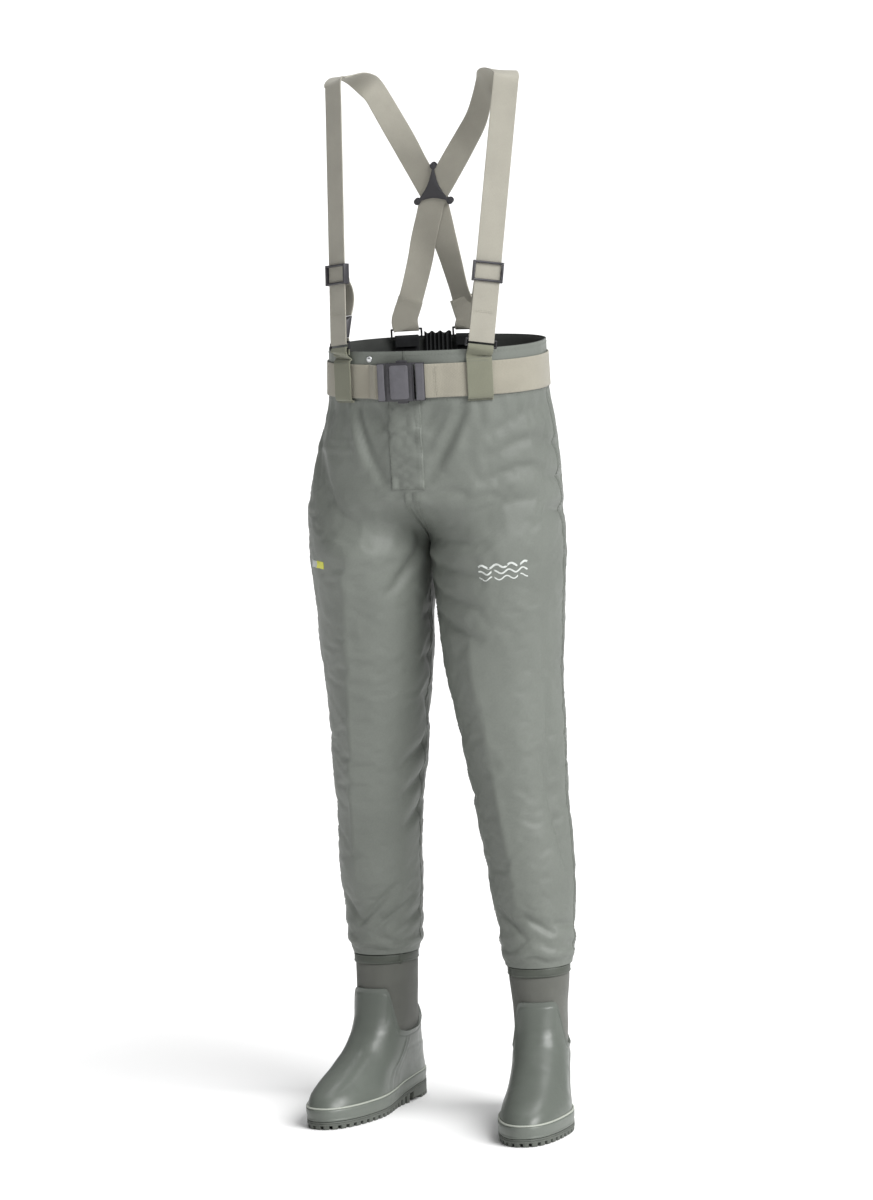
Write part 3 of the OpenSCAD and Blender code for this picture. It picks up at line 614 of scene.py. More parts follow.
def rear_folds():
    """Folds at the seat, behind the knee and above the heel, which both halves share."""
    return [
        *fan(2, ((0.60, 1080), (0.65, 960)), ((0.80, 1080), (0.75, 980)), -4, 12, 9),
        *fan(2, ((0.70, 910), (0.95, 860)), ((0.65, 860), (0.90, 810)), -7, 12, 16),
        *fan(1, ((0.75, 760), (0.75, 400)), ((0.75, 760), (0.75, 400)), 6, 26, 26, CRISP),
        *fan(3, ((0.60, 590), (0.90, 560)), ((0.60, 490), (0.90, 480)), -7, 11, 11, bow=-12),
        *fan(2, ((0.60, 330), (0.85, 320)), ((0.60, 290), (0.90, 280)), -5, 8, 10, bow=-10),
    ]


def right_folds():
    """The wearer's right: drags to the fly, a front crease, and bunching at the knee and the hem."""
    crease = ((0.28, 880), (0.32, 320))
    return rear_folds() + [
        *fan(3, ((0.18, 1080), (0.06, 960)), ((0.10, 1080), (0.07, 1040)), -8, 6, 11),
        *fan(2, ((0.20, 1080), (0.12, 980)), ((0.15, 1080), (0.06, 1000)), 6, 10, 8),
        *fan(3, ((0.34, 1010), (0.18, 900)), ((0.44, 1050), (0.33, 950)), -4, 16, 12),
        *fan(2, ((0.02, 880), (0.15, 810)), ((0.05, 850), (0.18, 790)), -5, 10, 8),
        *fan(1, crease, crease, 9, 26, 18, CRISP),
        *fan(3, ((0.06, 760), (-0.07, 740)), ((0.06, 640), (-0.06, 580)), -6, 10, 11),
        *fan(3, ((0.15, 520), (-0.05, 570)), ((0.12, 430), (-0.02, 460)), -8, 8, 12),
        *fan(3, ((0.33, 280), (0.13, 350)), ((0.18, 265), (0.00, 300)), -5, 5, 8),
        *fan(1, ((0.42, 330), (0.31, 280)), ((0.42, 330), (0.31, 280)), -5, 7, 9),
    ]


def left_folds():
    """The wearer's left: the same drags, long sweeps over the hip with bumps at the side, and its crease."""
    crease = ((0.20, 770), (0.22, 310))
    return rear_folds() + [
        *fan(3, ((0.13, 1075), (0.02, 960)), ((0.06, 1080), (0.02, 1040)), -8, 11, 6),
        *fan(2, ((0.16, 1080), (0.07, 980)), ((0.10, 1080), (0.04, 1010)), 5, 8, 8),
        *fan(3, ((0.18, 1030), (0.47, 1065)), ((0.14, 960), (0.40, 975)), -6, 8, 14, bow=10),
        *fan(3, ((0.36, 1015), (0.58, 1000)), ((0.38, 915), (0.58, 900)), -7, 8, 12),
        *fan(3, ((0.02, 940), (0.12, 945)), ((0.14, 915), (0.34, 930)), -4, 8, 11, bow=6),
        *fan(4, ((0.00, 870), (0.27, 865)), ((0.02, 765), (0.24, 725)), -6, 8, 13, bow=6),
        *fan(1, crease, crease, 9, 18, 26, CRISP),
        *fan(2, ((0.40, 760), (0.43, 370)), ((0.37, 560), (0.44, 370)), -7, 9, 16, CRISP),
        *fan(2, ((0.10, 600), (-0.03, 540)), ((0.11, 480), (-0.04, 490)), -5, 9, 11),
        *fan(3, ((0.10, 330), (0.25, 275)), ((0.35, 300), (0.48, 290)), -4.5, 7, 6),
        *fan(1, ((0.08, 280), (-0.06, 285)), ((0.08, 280), (-0.06, 285)), -5, 7, 9),
    ]


FOLDS = (right_folds(), left_folds())


def fold_height(t, z, points, height, gentle, steep, sharpness):
    """How far one fold lifts the cloth at (t, z)."""
    line = spline(points, 5)
    line_a = line[:, 0] * half_length(line[:, 1])
    along = running_length(np.stack([line_a, line[:, 1]], 1))
    best = np.full(np.broadcast(t, z).shape, 1e9)
    signed, share = np.zeros_like(best), np.zeros_like(best)
    for turn in (-1, 0, 1):
        a = (t + turn) * half_length(z)
        for i in range(len(line) - 1):
            da, dz = line_a[i + 1] - line_a[i], line[i + 1, 1] - line[i, 1]
            size = max(math.hypot(da, dz), 1e-6)
            u = np.clip(((a - line_a[i]) * da + (z - line[i, 1]) * dz) / size**2, 0, 1)
            off = np.hypot(a - line_a[i] - u * da, z - line[i, 1] - u * dz)
            left = da * (z - line[i, 1]) - dz * (a - line_a[i])
            nearer = off < best
            best = np.where(nearer, off, best)
            signed = np.where(nearer, np.sign(left) * off, signed)
            share = np.where(nearer, (along[i] + u * size) / along[-1], share)
    width = np.where(signed > 0, gentle, steep)
    taper = np.sqrt(np.clip(np.sin(math.pi * np.clip(share, 0.0, 1.0)), 0, 1))
    return height * taper * np.exp(-((np.abs(signed) / width) ** sharpness))


def gathers(side, t, z):
    """The ripples where the belt draws the cloth in."""
    a = t * 500
    waves = np.sin(a / 5.2 + 2.4 * wander(a / 40, 3 + side))
    waves = waves + 0.6 * np.sin(a / 9.0 + 3 * wander(a / 60, 5 + side))
    below = 1.5 * np.exp(-np.clip(1086 - z, 0, None) / 30) * (z < 1086)
    above = 0.45 * (z >= 1086)
    return waves * (below + above)


def bunching(side, t, z):
    """The crumpled cloth above the cuffs and behind the knees."""
    zig = 9 * np.sin(2 * math.pi * (2.0 * t + 0.2 * side)) + 5 * np.sin(2 * math.pi * (5 * t + 0.45))
    cuff = 1.1 * np.exp(-(((z - 268) / 30) ** 2)) * np.sin((z + zig) / 5.4)
    knee = 1.2 * bump(t, 0.75, 0.25) * bump(z, 520, 110) * np.sin((z + 1.5 * zig) / 8)
    return cuff + knee


CLOTH_Z = np.concatenate([np.linspace(HEM_Z, 330, 24, endpoint=False), np.linspace(330, WAIST_Z, 132)])
CLOTH_T = np.linspace(0, 1, 81)


def cloth_normals(grid, side):
    up = np.gradient(grid, axis=0)
    right = np.gradient(grid, axis=1)
    return unit(np.cross(up, right) if side == RIGHT else np.cross(right, up))


def shaped_half(side):
    """One half of the trousers with its folds, as a grid of points."""
    z, t = CLOTH_Z[:, None], CLOTH_T[None, :]
    base = cloth_base(side, z, t)
    lift = sum(fold_height(t, z, *fold) for fold in FOLDS[side])
    lift = lift + gathers(side, t, z) + bunching(side, t, z)
    lift = lift + 1.3 * lumps(base, 70, 2 + side) + 0.7 * lumps(base, 26, 9 + side)
    belted = ease((z - 1070) / 16)
    lift = mix(lift, np.clip(lift, -1.2, 0.1), belted)
    at_seam = np.minimum(t, 1 - t) * half_length(z)
    lift = lift * ease(at_seam / 14 + 0.25 * (z < CROTCH_LOW))
    tuck = -4.0 * (1 - ease((z - HEM_Z) / 22))
    lift = lift * ease((z - HEM_Z) / 18) + tuck
    return base + cloth_normals(base, side) * lift[..., None]


class Surface:
    """A smooth surface through a grid of cloth points."""

    def __init__(self, grid, side):
        self.grid, self.side = grid, side

    def at(self, t, z):
        t, z = np.broadcast_arrays(np.asarray(t, float), np.asarray(z, float))
        r = np.interp(z, CLOTH_Z, np.arange(len(CLOTH_Z)))
        c = np.clip(t, 0, 1) * (len(CLOTH_T) - 1)
        return self.cubic(r, c)

    def cubic(self, r, c):
        rows, cols = self.grid.shape[:2]
        i, j = np.clip(np.floor(r).astype(int), 0, rows - 2), np.clip(np.floor(c).astype(int), 0, cols - 2)
        u, v = (r - i)[..., None], (c - j)[..., None]
        total = 0
        for m, wu in enumerate(self.weights(u)):
            for n, wv in enumerate(self.weights(v)):
                part = self.grid[np.clip(i + m - 1, 0, rows - 1), np.clip(j + n - 1, 0, cols - 1)]
                total = total + part * wu * wv
        return total

    @staticmethod
    def weights(u):
        return (0.5 * (-u + 2 * u**2 - u**3), 0.5 * (2 - 5 * u**2 + 3 * u**3),
                0.5 * (u + 4 * u**2 - 3 * u**3), 0.5 * (-(u**2) + u**3))

    def normal(self, t, z):
        dt, dz = 0.004, 1.5
        up = self.at(t, np.minimum(z + dz, WAIST_Z)) - self.at(t, np.maximum(z - dz, HEM_Z))
        right = self.at(np.minimum(t + dt, 1), z) - self.at(np.maximum(t - dt, 0), z)
        return unit(np.cross(up, right) if self.side == RIGHT else np.cross(right, up))

    def off(self, t, z, out):
        return self.at(t, z) + self.normal(t, z) * np.asarray(out, float)[..., None]


def relaxed(halves):
    """Lets the folded cloth settle as real fabric, with its top, its hems and its seams held."""
    rows, cols = halves[0].shape[:2]
    index = -np.ones((2, rows, cols), int)
    points, count = [], 0
    for side in (RIGHT, LEFT):
        for r in range(rows):
            for c in range(cols):
                above = CLOTH_Z[r] >= CROTCH_LOW
                if side == LEFT and above and c in (0, cols - 1):
                    index[side, r, c] = index[RIGHT, r, c]
                elif not above and c == cols - 1:
                    index[side, r, c] = index[side, r, 0]
                else:
                    index[side, r, c] = count
                    points.append(halves[side][r, c])
                    count += 1
    faces = []
    for side in (RIGHT, LEFT):
        k = index[side]
        for r in range(rows - 1):
            for c in range(cols - 1):
                quad = [k[r, c], k[r, c + 1], k[r + 1, c + 1], k[r + 1, c]]
                if len(set(quad)) == 4:
                    faces.append([int(i) for i in (quad if side == LEFT else quad[::-1])])
    mesh = bpy.data.meshes.new("settling")
    mesh.from_pydata(to_frame(points).tolist(), [], faces)
    obj = bpy.data.objects.new("settling", mesh)
    bpy.context.scene.collection.objects.link(obj)
    hold = np.zeros(count)
    for side in (RIGHT, LEFT):
        z, t = CLOTH_Z[:, None], CLOTH_T[None, :]
        at_seam = np.minimum(t, 1 - t) * half_length(z)
        held = np.maximum(ease((z - 1066) / 16), 1 - ease((z - HEM_Z) / 14))
        held = np.maximum(held, 0.6 * (1 - ease(at_seam / 10)))
        held = np.maximum(held, 0.3)
        hold[index[side]] = np.maximum(hold[index[side]], held)
    group = obj.vertex_groups.new(name="held")
    for i, weight in enumerate(hold):
        group.add([i], float(weight), "REPLACE")
    cloth = obj.modifiers.new("settle", "CLOTH")
    cloth.settings.quality = 6
    cloth.settings.mass = 0.25
    cloth.settings.tension_stiffness = 22
    cloth.settings.compression_stiffness = 22
    cloth.settings.shear_stiffness = 8
    cloth.settings.bending_stiffness = 0.6
    cloth.settings.air_damping = 6
    cloth.settings.vertex_group_mass = "held"
    cloth.settings.pin_stiffness = 2.0
    cloth.settings.shrink_min = -0.015
    cloth.collision_settings.use_collision = False
    cloth.collision_settings.use_self_collision = False
    cloth.point_cache.frame_start, cloth.point_cache.frame_end = 1, 24
    for step in range(1, 25):
        bpy.context.scene.frame_set(step)
    settled = obj.evaluated_get(bpy.context.evaluated_depsgraph_get())
    found = np.zeros(count * 3)
    settled.data.vertices.foreach_get("co", found)
    found = found.reshape(-1, 3) / MM - SHIFT
    bpy.data.objects.remove(obj)
    bpy.context.scene.frame_set(1)
    cap = 2.5
    out = []
    for side in (RIGHT, LEFT):
        moved = found[index[side]] - halves[side]
        size = np.linalg.norm(moved, axis=2, keepdims=True)
        out.append(halves[side] + moved * np.minimum(1, cap / np.maximum(size, 1e-9)))
    return out


halves = [shaped_half(RIGHT), shaped_half(LEFT)]
halves = relaxed(halves)
CLOTH = [Surface(halves[RIGHT], RIGHT), Surface(halves[LEFT], LEFT)]

CLOTH_T_STEPS, CLOTH_WALL = 49, 0.7
PANEL_Z = np.concatenate([np.linspace(HEM_Z, 345, 42, endpoint=False), np.linspace(345, WAIST_Z, 190)])


def panel(name, side, first, last):
    ts = np.linspace(first, last, CLOTH_T_STEPS)
    if side == RIGHT:
        ts = ts[::-1]
    z, t = PANEL_Z[:, None], ts[None, :]
    outer = CLOTH[side].at(t, z)
    inner = CLOTH[side].off(t, z, np.full((len(PANEL_Z), len(ts)), -CLOTH_WALL))
    solid = Solid()
    solid.sheet(outer, inner, even_places(outer))
    obj = solid.build(name + "_cloth", FABRIC, slot="trouser_laminate", stands_for=[name], sharp=70)


def make_panels():
    for side in (RIGHT, LEFT):
        word = SIDES[side]
        panel(f"front_panel_{word}", side, 0, 0.5)
        panel(f"back_panel_{word}", side, 0.5, 1)


# ---- Strips and stitches on the cloth --------------------------------------------
def strip_grid(side, path, offsets, lift):
    """Points beside a path of (t, z), at offsets in mm across it, raised off the cloth."""
    path = np.asarray(path, float)
    a = path[:, 0] * half_length(path[:, 1])
    run = np.gradient(np.stack([a, path[:, 1]], 1), axis=0)
    run = run / np.linalg.norm(run, axis=1, keepdims=True)
    across = np.stack([run[:, 1], -run[:, 0]], 1)
    offsets = np.asarray(offsets, float)[:, None]
    t = path[None, :, 0] + offsets * across[None, :, 0] / half_length(path[None, :, 1])
    z = path[None, :, 1] + offsets * across[None, :, 1]
    return CLOTH[side].off(t, np.clip(z, HEM_Z, WAIST_Z), np.broadcast_to(lift, t.shape))


def strip(solid, side, path, half, thick, lift=0.05):
    """A thin strip that lies on the cloth."""
    offsets = np.array([-half, -half + 0.4, 0, half - 0.4, half])
    top = np.array([lift + 0.1, lift + thick, lift + thick, lift + thick, lift + 0.1])[:, None]
    outer = strip_grid(side, path, offsets, top)
    inner = strip_grid(side, path, offsets, lift - 0.5)
    if np.dot(np.cross(outer[0, 1] - outer[0, 0], outer[1, 0] - outer[0, 0]), outer[2, 0] - inner[2, 0]) < 0:
        outer, inner = outer[::-1], inner[::-1]
    solid.sheet(outer, inner, even_places(outer))


STITCH_RING = [(0.0, 0.0), (0.22, 1.0), (0.78, 1.0), (1.0, 0.0)]


def stitches(solid, line, normals, length=3.4, gap=1.5, radius=0.36):
    """A row of short threads along a line that already lies on its surface."""
    line, normals = np.asarray(line, float), np.asarray(normals, float)
    line, normals, along = respaced(line, normals, step=0.8)
    pitch = length + gap
    for k in range(int(along[-1] // pitch)):
        start = k * pitch + gap / 2
        rings = []
        for share, fat in STITCH_RING:
            s = start + share * length
            at = np.array([np.interp(s, along, line[:, j]) for j in range(3)])
            ahead = np.array([np.interp(s + 0.6, along, line[:, j]) for j in range(3)])
            back = np.array([np.interp(s - 0.6, along, line[:, j]) for j in range(3)])
            n = unit([np.interp(s, along, normals[:, j]) for j in range(3)])
            w = unit(np.cross(unit(ahead - back), n))
            r = radius * (0.35 + 0.65 * fat)
            centre = at + n * (0.12 + 0.25 * fat - 0.25 * (1 - fat))
            rings.append([centre + w * r, centre + n * r * 0.8, centre - w * r, centre - n * r * 0.8])
        solid.tube(rings, np.zeros((4, 5, 2)))


def stitch_on_cloth(solid, side, path, offset, lift=0.0):
    line = strip_grid(side, path, [offset], lift)[0]
    path = np.asarray(path, float)
    stitches(solid, line, CLOTH[side].normal(np.clip(path[:, 0], 0.002, 0.998), path[:, 1]))


def make_seams():
    """Felled seams down the outsides and insides, and at the centre front and back."""
    bands, thread = Solid(), Solid()
    for side in (RIGHT, LEFT):
        outseam = [(0.5, z) for z in np.linspace(250, 1082, 200)]
        strip(bands, side, outseam, 4.5, 0.55)
        for offset in (-3.2, 3.2):
            stitch_on_cloth(thread, side, outseam, offset, 0.6)
        inseam = [(0.012, z) for z in np.linspace(250, 842, 150)]
        strip(bands, side, inseam, 3.2, 0.5)
        stitch_on_cloth(thread, side, inseam, 1.6, 0.55)
        front = [(0.0085, z) for z in np.linspace(866, 948, 26)]
        strip(bands, side, front, 2.6, 0.45)
        stitch_on_cloth(thread, side, front, 0.6, 0.5)
        rear = [(0.991, z) for z in np.linspace(866, 1082, 60)]
        strip(bands, side, rear, 2.6, 0.45)
        stitch_on_cloth(thread, side, rear, -0.6, 0.5)
    bands.build("trouser_seam_bands", FABRIC_SEAM, slot="trouser_laminate", sharp=60)
    thread.build("trouser_stitches", THREAD, slot="trouser_laminate", sharp=80)


# ---- Fly, waist and prints ---------------------------------------------------------
FLY_X, FLY_HALF, FLY_LOW, FLY_HIGH = -15, 25, 953, 1086


def front_on(x, z, out):
    """A point on the cloth's front at x and z, and its normal."""
    side, t = front_place(z, x)
    normal = CLOTH[side].normal(t, z)
    blend = float(ease(abs(x - SEAM_X) / 6))
    normal = unit(mix(np.array([0, -1, 0.0]), normal, blend))
    return CLOTH[side].at(t, z) + normal * out, normal


def make_fly():
    xs = np.linspace(FLY_X - FLY_HALF, FLY_X + FLY_HALF, 33)
    zs = np.linspace(FLY_LOW, FLY_HIGH, 60)
    outer, inner = np.zeros((60, 33, 3)), np.zeros((60, 33, 3))
    for i, z in enumerate(zs):
        for j, x in enumerate(xs):
            edge = min(x - xs[0], xs[-1] - x, z - zs[0])
            ripple = 0.25 * math.sin(z / 17 + x / 9)
            lift = 0.7 + 1.1 * ease(edge / 1.2) + 0.35 * ease((x - 1.5) / 2) + ripple
            outer[i, j] = front_on(x, z, lift)[0]
            inner[i, j] = front_on(x, z, 0.15)[0]
    solid = Solid()
    solid.sheet(outer, inner, even_places(outer))
    fly = solid.build("fly_flap_cloth", FABRIC, slot="trouser_laminate", stands_for=["fly_flap"], sharp=60)
    thread = Solid()
    for x in (FLY_X - FLY_HALF + 2.2, FLY_X + FLY_HALF - 2.2, FLY_X + FLY_HALF - 8.2):
        row = [front_on(x, z, 2.1) for z in np.linspace(FLY_LOW + 2, FLY_HIGH, 60)]
        stitches(thread, [p for p, _ in row], [n for _, n in row])
    xs = np.linspace(FLY_X - FLY_HALF + 2, FLY_X + FLY_HALF - 2, 30)
    row = [front_on(x, FLY_LOW + 2.2, 1.9) for x in xs]
    stitches(thread, [p for p, _ in row], [n for _, n in row])
    thread.build("fly_stitches", THREAD, slot="trouser_laminate", sharp=80)


def waist_ring(z, out, columns=90):
    ts = np.linspace(0, 1, columns)
    right = cloth_base(RIGHT, z, ts[::-1], out)
    left = cloth_base(LEFT, z, ts, out)
    return np.vstack([right[:-1], left[:-1]])


def make_waist():
    zs = np.array([1087, 1095, 1106, 1118, 1130, 1141, 1149, 1153.5, 1156, 1157.4])
    outs = np.array([-3.3, -3.3, -3.3, -3.3, -3.3, -3.2, -2.8, -2.0, -1.2, -0.9])
    outer = np.array([waist_ring(z, out) for z, out in zip(zs, outs)])
    angle = np.arctan2(outer[..., 1], outer[..., 0] - 11)
    behind = np.exp(-(((angle - math.pi / 2) / 0.55) ** 2))
    ruffle = 0.9 * np.sin(angle * 62) * behind + 0.35 * np.sin(angle * 23) * (1 - behind)
    fade = ease((1155 - zs) / 12)[:, None]
    radial = unit(outer * [1, 1, 0] - [11, 0, 0])
    outer = outer + radial * (np.minimum(ruffle, 0.2) * fade)[..., None]
    inner = outer - radial * 1.1
    solid = Solid()
    solid.sheet(outer, inner, wrapped_places(outer), wrap=True)
    facing = solid.build(
        "waist_facing_lining", LINING,
        slot="lining_fabric", stands_for=["waist_facing"], sharp=60,
    )
    thread = Solid()
    for side in (RIGHT, LEFT):
        for z in (1151.5, 1084.0):
            path = [(t, z) for t in np.linspace(0.004, 0.996, 150)]
            stitch_on_cloth(thread, side, path, 0.0, 0.05)
    thread.build("waist_stitches", THREAD, slot="trouser_laminate", sharp=80)


def make_overlap():
    """The waistband's vertical overlap beside the snap."""
    xs = np.linspace(-14, -9, 7)
    zs = np.linspace(1140, 1157, 12)
    outer = np.array([[front_on(x, z, 0.25 + 0.8 * ease((x + 14) / 1.5))[0] for x in xs] for z in zs])
    inner = np.array([[front_on(x, z, -0.1)[0] for x in xs] for z in zs])
    solid = Solid()
    solid.sheet(outer, inner, even_places(outer))
    solid.build("waistband_overlap", FABRIC_SEAM, slot="trouser_laminate", sharp=60)


ELASTIC_X = (8, -36)


def make_elastic():
    zs = np.linspace(1104, 1163, 22)
    high, low = [-float(hip_angle(1130, x)) for x in ELASTIC_X]
    angles = np.linspace(high, low, 150)
    along = np.linspace(0, 1, 150)[None, :]
    pleat = np.abs(np.sin(along * math.pi * 6.5 + 0.5 * wander(along * 5, 12))) ** 0.8
    settle = mix(0.6, 1.0, ease((zs - 1108) / 40))[:, None]
    out = -6.2 - 4.2 * (1 - pleat) * settle
    top = 1.6 * np.sin(along * math.pi * 6.5) * ease((zs[:, None] - 1150) / 12)
    outer = hip_point(zs[:, None] + top, angles[None, :], out)
    inner = hip_point(zs[:, None] + top, angles[None, :], out - 1.3)
    solid = Solid()
    solid.sheet(outer, inner, even_places(outer))
    piece = solid.build(
        "rear_elastic_ruffle", ELASTIC,
        slot="lining_fabric", stands_for=["rear_elastic"], sharp=60,
    )


def lathe(name, centre, axis, profile, material, slot, stands_for=(), steps=40):
    """A turned piece: profile is a list of (radius, height along the axis)."""
    axis = unit(axis)
    side = unit(np.cross(axis, [0.0, 0.0, 1.0] if abs(axis[2]) < 0.9 else [1.0, 0, 0]))
    other = np.cross(axis, side)
    turn = np.linspace(0, 2 * math.pi, steps, endpoint=False)
    rings = [
        [centre + axis * h + (side * math.cos(a) + other * math.sin(a)) * r for a in turn]
        for r, h in profile
    ]
    solid = Solid()
    solid.tube(rings, np.zeros((len(profile), steps + 1, 2)))
    return solid.build(name, material, slot=slot, stands_for=stands_for, sharp=50)


def make_snap():
    at, normal = front_on(-66, 1146, 0.1)
    cap = [(4.4, 0.0), (4.7, 0.5), (4.6, 1.2), (3.9, 1.7), (3.3, 1.55), (2.6, 1.5), (1.4, 1.95), (0.3, 2.1)]
    lathe("waist_snap_cap", at, normal, cap, CHROME, "snap_metal", ["waist_snap"])


WAVE_AT, WAVE_WIDE, WAVE_GAP = (0.24, 835), 0.12, 9
TAG_AT, TAG_WIDE, TAG_TALL = (0.35, 840), 0.035, 11


def make_prints():
    """A plain wave motif on the left thigh and a small tag on the right, in place of printed marks."""
    waves = Solid()
    for row in range(3):
        ts = np.linspace(WAVE_AT[0], WAVE_AT[0] + WAVE_WIDE, 60)
        rise = 26 * (ts - ts[0]) + 2.6 * np.sin((ts - ts[0]) * 180 + row)
        strip(waves, LEFT, list(zip(ts, WAVE_AT[1] - WAVE_GAP * row + rise)), 1.5 - 0.3 * row, 0.12, 0.1)
    waves.build("thigh_wave_print", PRINT, slot="trouser_laminate", sharp=60)
    tags = (("thigh_tag_yellow", TAG_YELLOW), ("thigh_tag_grey", TAG_GREY))
    for place, (name, material) in enumerate(tags):
        tag = Solid()
        start = TAG_AT[0] + place * TAG_WIDE
        path = [(t, TAG_AT[1]) for t in np.linspace(start, start + TAG_WIDE, 12)]
        strip(tag, RIGHT, path, TAG_TALL / 2, 0.25, 0.1)
        tag.build(name, material, slot="trouser_laminate", sharp=60)


# ---- Webbing ----------------------------------------------------------------------
def webbing_section(width, thick):
    """The rounded outline of flat webbing, as (across, out) points."""
    half, r = width / 2, thick / 2
    xs = np.linspace(-half + r, half - r, 15)
    top = [(x, r - 0.12 * (abs(x) > half - 3.2) * (abs(x) < half - 1.8)) for x in xs]
    right = [(half - r + r * math.sin(a), r * math.cos(a)) for a in np.radians([30, 60, 90, 120, 150])]
    bottom = [(-x, -y) for x, y in top]
    left = [(-x, -y) for x, y in right]
    return np.array(top + right + bottom + left)


def ribbon(solid, points, normals, width, thick, step=3.0):
    """Webbing along points with a face normal at each, smooth between them."""
    line, facing = spline(points, 6), unit(spline(normals, 6))
    line, facing, along = respaced(line, facing, step=step)
    run = unit(np.gradient(line, axis=0))
    facing = unit(facing - run * (facing * run).sum(1, keepdims=True))
    across = np.cross(run, facing)
    section = webbing_section(width, thick)
    rings = line[:, None] + across[:, None] * section[None, :, :1] + facing[:, None] * section[None, :, 1:]
    u = np.concatenate([section[:, 0], section[:1, 0]])
    shape = (len(line), len(u))
    places = np.dstack([np.broadcast_to(u, shape), np.broadcast_to(along[:, None], shape)])
    area = np.cross(rings[0, 1] - rings[0, 0], rings[1, 0] - rings[0, 0])
    if np.dot(area, facing[0]) < 0:
        rings, places = rings[:, ::-1], places[:, ::-1]
    solid.tube(rings, places)
    return line, facing, across


STRAP_W, STRAP_T = 38, 1.8
RING_AT = np.array([[-115, -95, 1170], [105, -111, 1170]], float)
SHOULDER_AT = np.array([[-120, -25, 1545], [142, -25, 1545]], float)
STRAP_YAW = (-38, 20)
FOLD_R = 2.65
FOLD_STEPS = (-90, -60, -30, 0, 30, 60, 90)
RING_TALL, REAR_TALL = 9.5, 12


def sin_d(a):
    return math.sin(math.radians(a))


def cos_d(a):
    return math.cos(math.radians(a))


def yaw_normal(yaw):
    return np.array([sin_d(yaw), -cos_d(yaw), 0])


def strap_axes(side):
    """Across, facing and along a front strap."""
    d = unit(SHOULDER_AT[side] - RING_AT[side])
    n = yaw_normal(STRAP_YAW[side])
    n = unit(n - d * np.dot(d, n))
    return np.cross(d, n), n, d


def strap_point(side, x, y, z):
    w, n, d = strap_axes(side)
    return RING_AT[side] + w * x - n * y + d * z


SHOULDER_POINTS = [
    [[-119, -15, 1552], [-112, 4, 1556], [-100, 24, 1553], [-88, 39, 1544]],
    [[141, -15, 1552], [133, 4, 1556], [116, 24, 1553], [100, 39, 1544]],
]
SHOULDER_NORMALS = [
    [[-0.35, -0.45, 0.8], [-0.1, 0, 1], [-0.2, 0.4, 0.9], [-0.4, 0.7, 0.6]],
    [[0.3, -0.45, 0.8], [0.1, 0, 1], [0.2, 0.4, 0.9], [0.4, 0.7, 0.6]],
]
CROSS_AT = np.array([-6, 100, 1366], float)
LEAN = 0.14
LAYER = (1.15, -1.15)
BACK_POINTS = [
    [[-78, 52, 1531], [-69, 65, 1509], [-57, 77, 1480], [-44, 87, 1450], [-31, 92.4, 1420],
     [-18, 96.2, 1393],
     [-6, 100, 1366], [0, 104.2, 1336], [5, 108.2, 1304], [13, 110.5, 1270], [25, 110, 1220]],
    [[91, 52, 1531], [83, 65, 1509], [70, 77, 1480], [50, 87, 1450], [30, 92.4, 1420], [12, 96.2, 1393],
     [-6, 100, 1366], [-16, 104.2, 1336], [-26, 108.2, 1304], [-34, 109, 1270], [-48, 104, 1220]],
]
BACK_YAWS = [[-40, -36, -28, -14, 0, 0, 0, 0, 3, 18, 28], [36, 30, 24, 14, 0, 0, 0, 0, -3, -18, -28]]
REAR_RING_AT = np.array([[-58, 98, 1169], [34, 104.6, 1169]], float)
REAR_YAW = (-17, 8)


def rear_normal(yaw):
    return np.array([sin_d(yaw), cos_d(yaw), 0])


def rear_point(side, y, z):
    return REAR_RING_AT[side] + rear_normal(REAR_YAW[side]) * y + [0, 0, z]


def layer_share(z):
    if z > 1421:
        return max(0, 1 - (z - 1421) / 40)
    return max(0, 1 - (1300 - z) / 60) if z < 1300 else 1


def strap_path(side):
    """One suspender from its front ring over the shoulder to the far rear ring, with its sewn end."""
    _, n, d = strap_axes(side)
    far = 1 - side
    points = [strap_point(side, 0, 2 * FOLD_R, 6.6)]
    points += [strap_point(side, 0, FOLD_R - FOLD_R * sin_d(a), -FOLD_R * cos_d(a)) for a in FOLD_STEPS]
    points += [strap_point(side, 0, 0, z) for z in (40, 150, 260, 350)] + [SHOULDER_AT[side]]
    normals = [-n] + [n * sin_d(a) - d * cos_d(a) for a in FOLD_STEPS] + [n] * 5
    points += [np.array(p, float) for p in SHOULDER_POINTS[side]]
    normals += [np.array(p, float) for p in SHOULDER_NORMALS[side]]
    back = [np.array(p, float) + [0, LAYER[side] * layer_share(p[2]), 0] for p in BACK_POINTS[side]]
    points += back
    normals += [rear_normal(a) + [0, 0, LEAN] for a in BACK_YAWS[side]]
    facing = rear_normal(REAR_YAW[far])
    points += [rear_point(far, FOLD_R, 20)]
    points += [rear_point(far, -FOLD_R * sin_d(a), -FOLD_R * cos_d(a)) for a in FOLD_STEPS]
    normals += [facing] + [-facing * sin_d(a) - np.array([0, 0, cos_d(a)]) for a in FOLD_STEPS]
    main_low, main_high = rear_point(far, FOLD_R, 20), back[-1]
    for share, inward in ((-0.25, 3.6), (0.25, 2.2), (0.8, 1.95)):
        points.append(mix(main_low, main_high, share) - facing * inward)
        normals.append(-facing)
    return points, normals


def band_stitches(thread, line, facing, across, at, half, lift, rows=1):
    """Rows of stitches across webbing at a place along it."""
    along = running_length(line)
    for row in range(rows):
        s = at + 2.6 * row
        centre = np.array([np.interp(s, along, line[:, j]) for j in range(3)])
        n = unit([np.interp(s, along, facing[:, j]) for j in range(3)])
        w = unit([np.interp(s, along, across[:, j]) for j in range(3)])
        row_points = [centre + w * x + n * lift for x in np.linspace(-half, half, 16)]
        stitches(thread, row_points, [n] * 16, length=2.6, gap=1.1, radius=0.32)


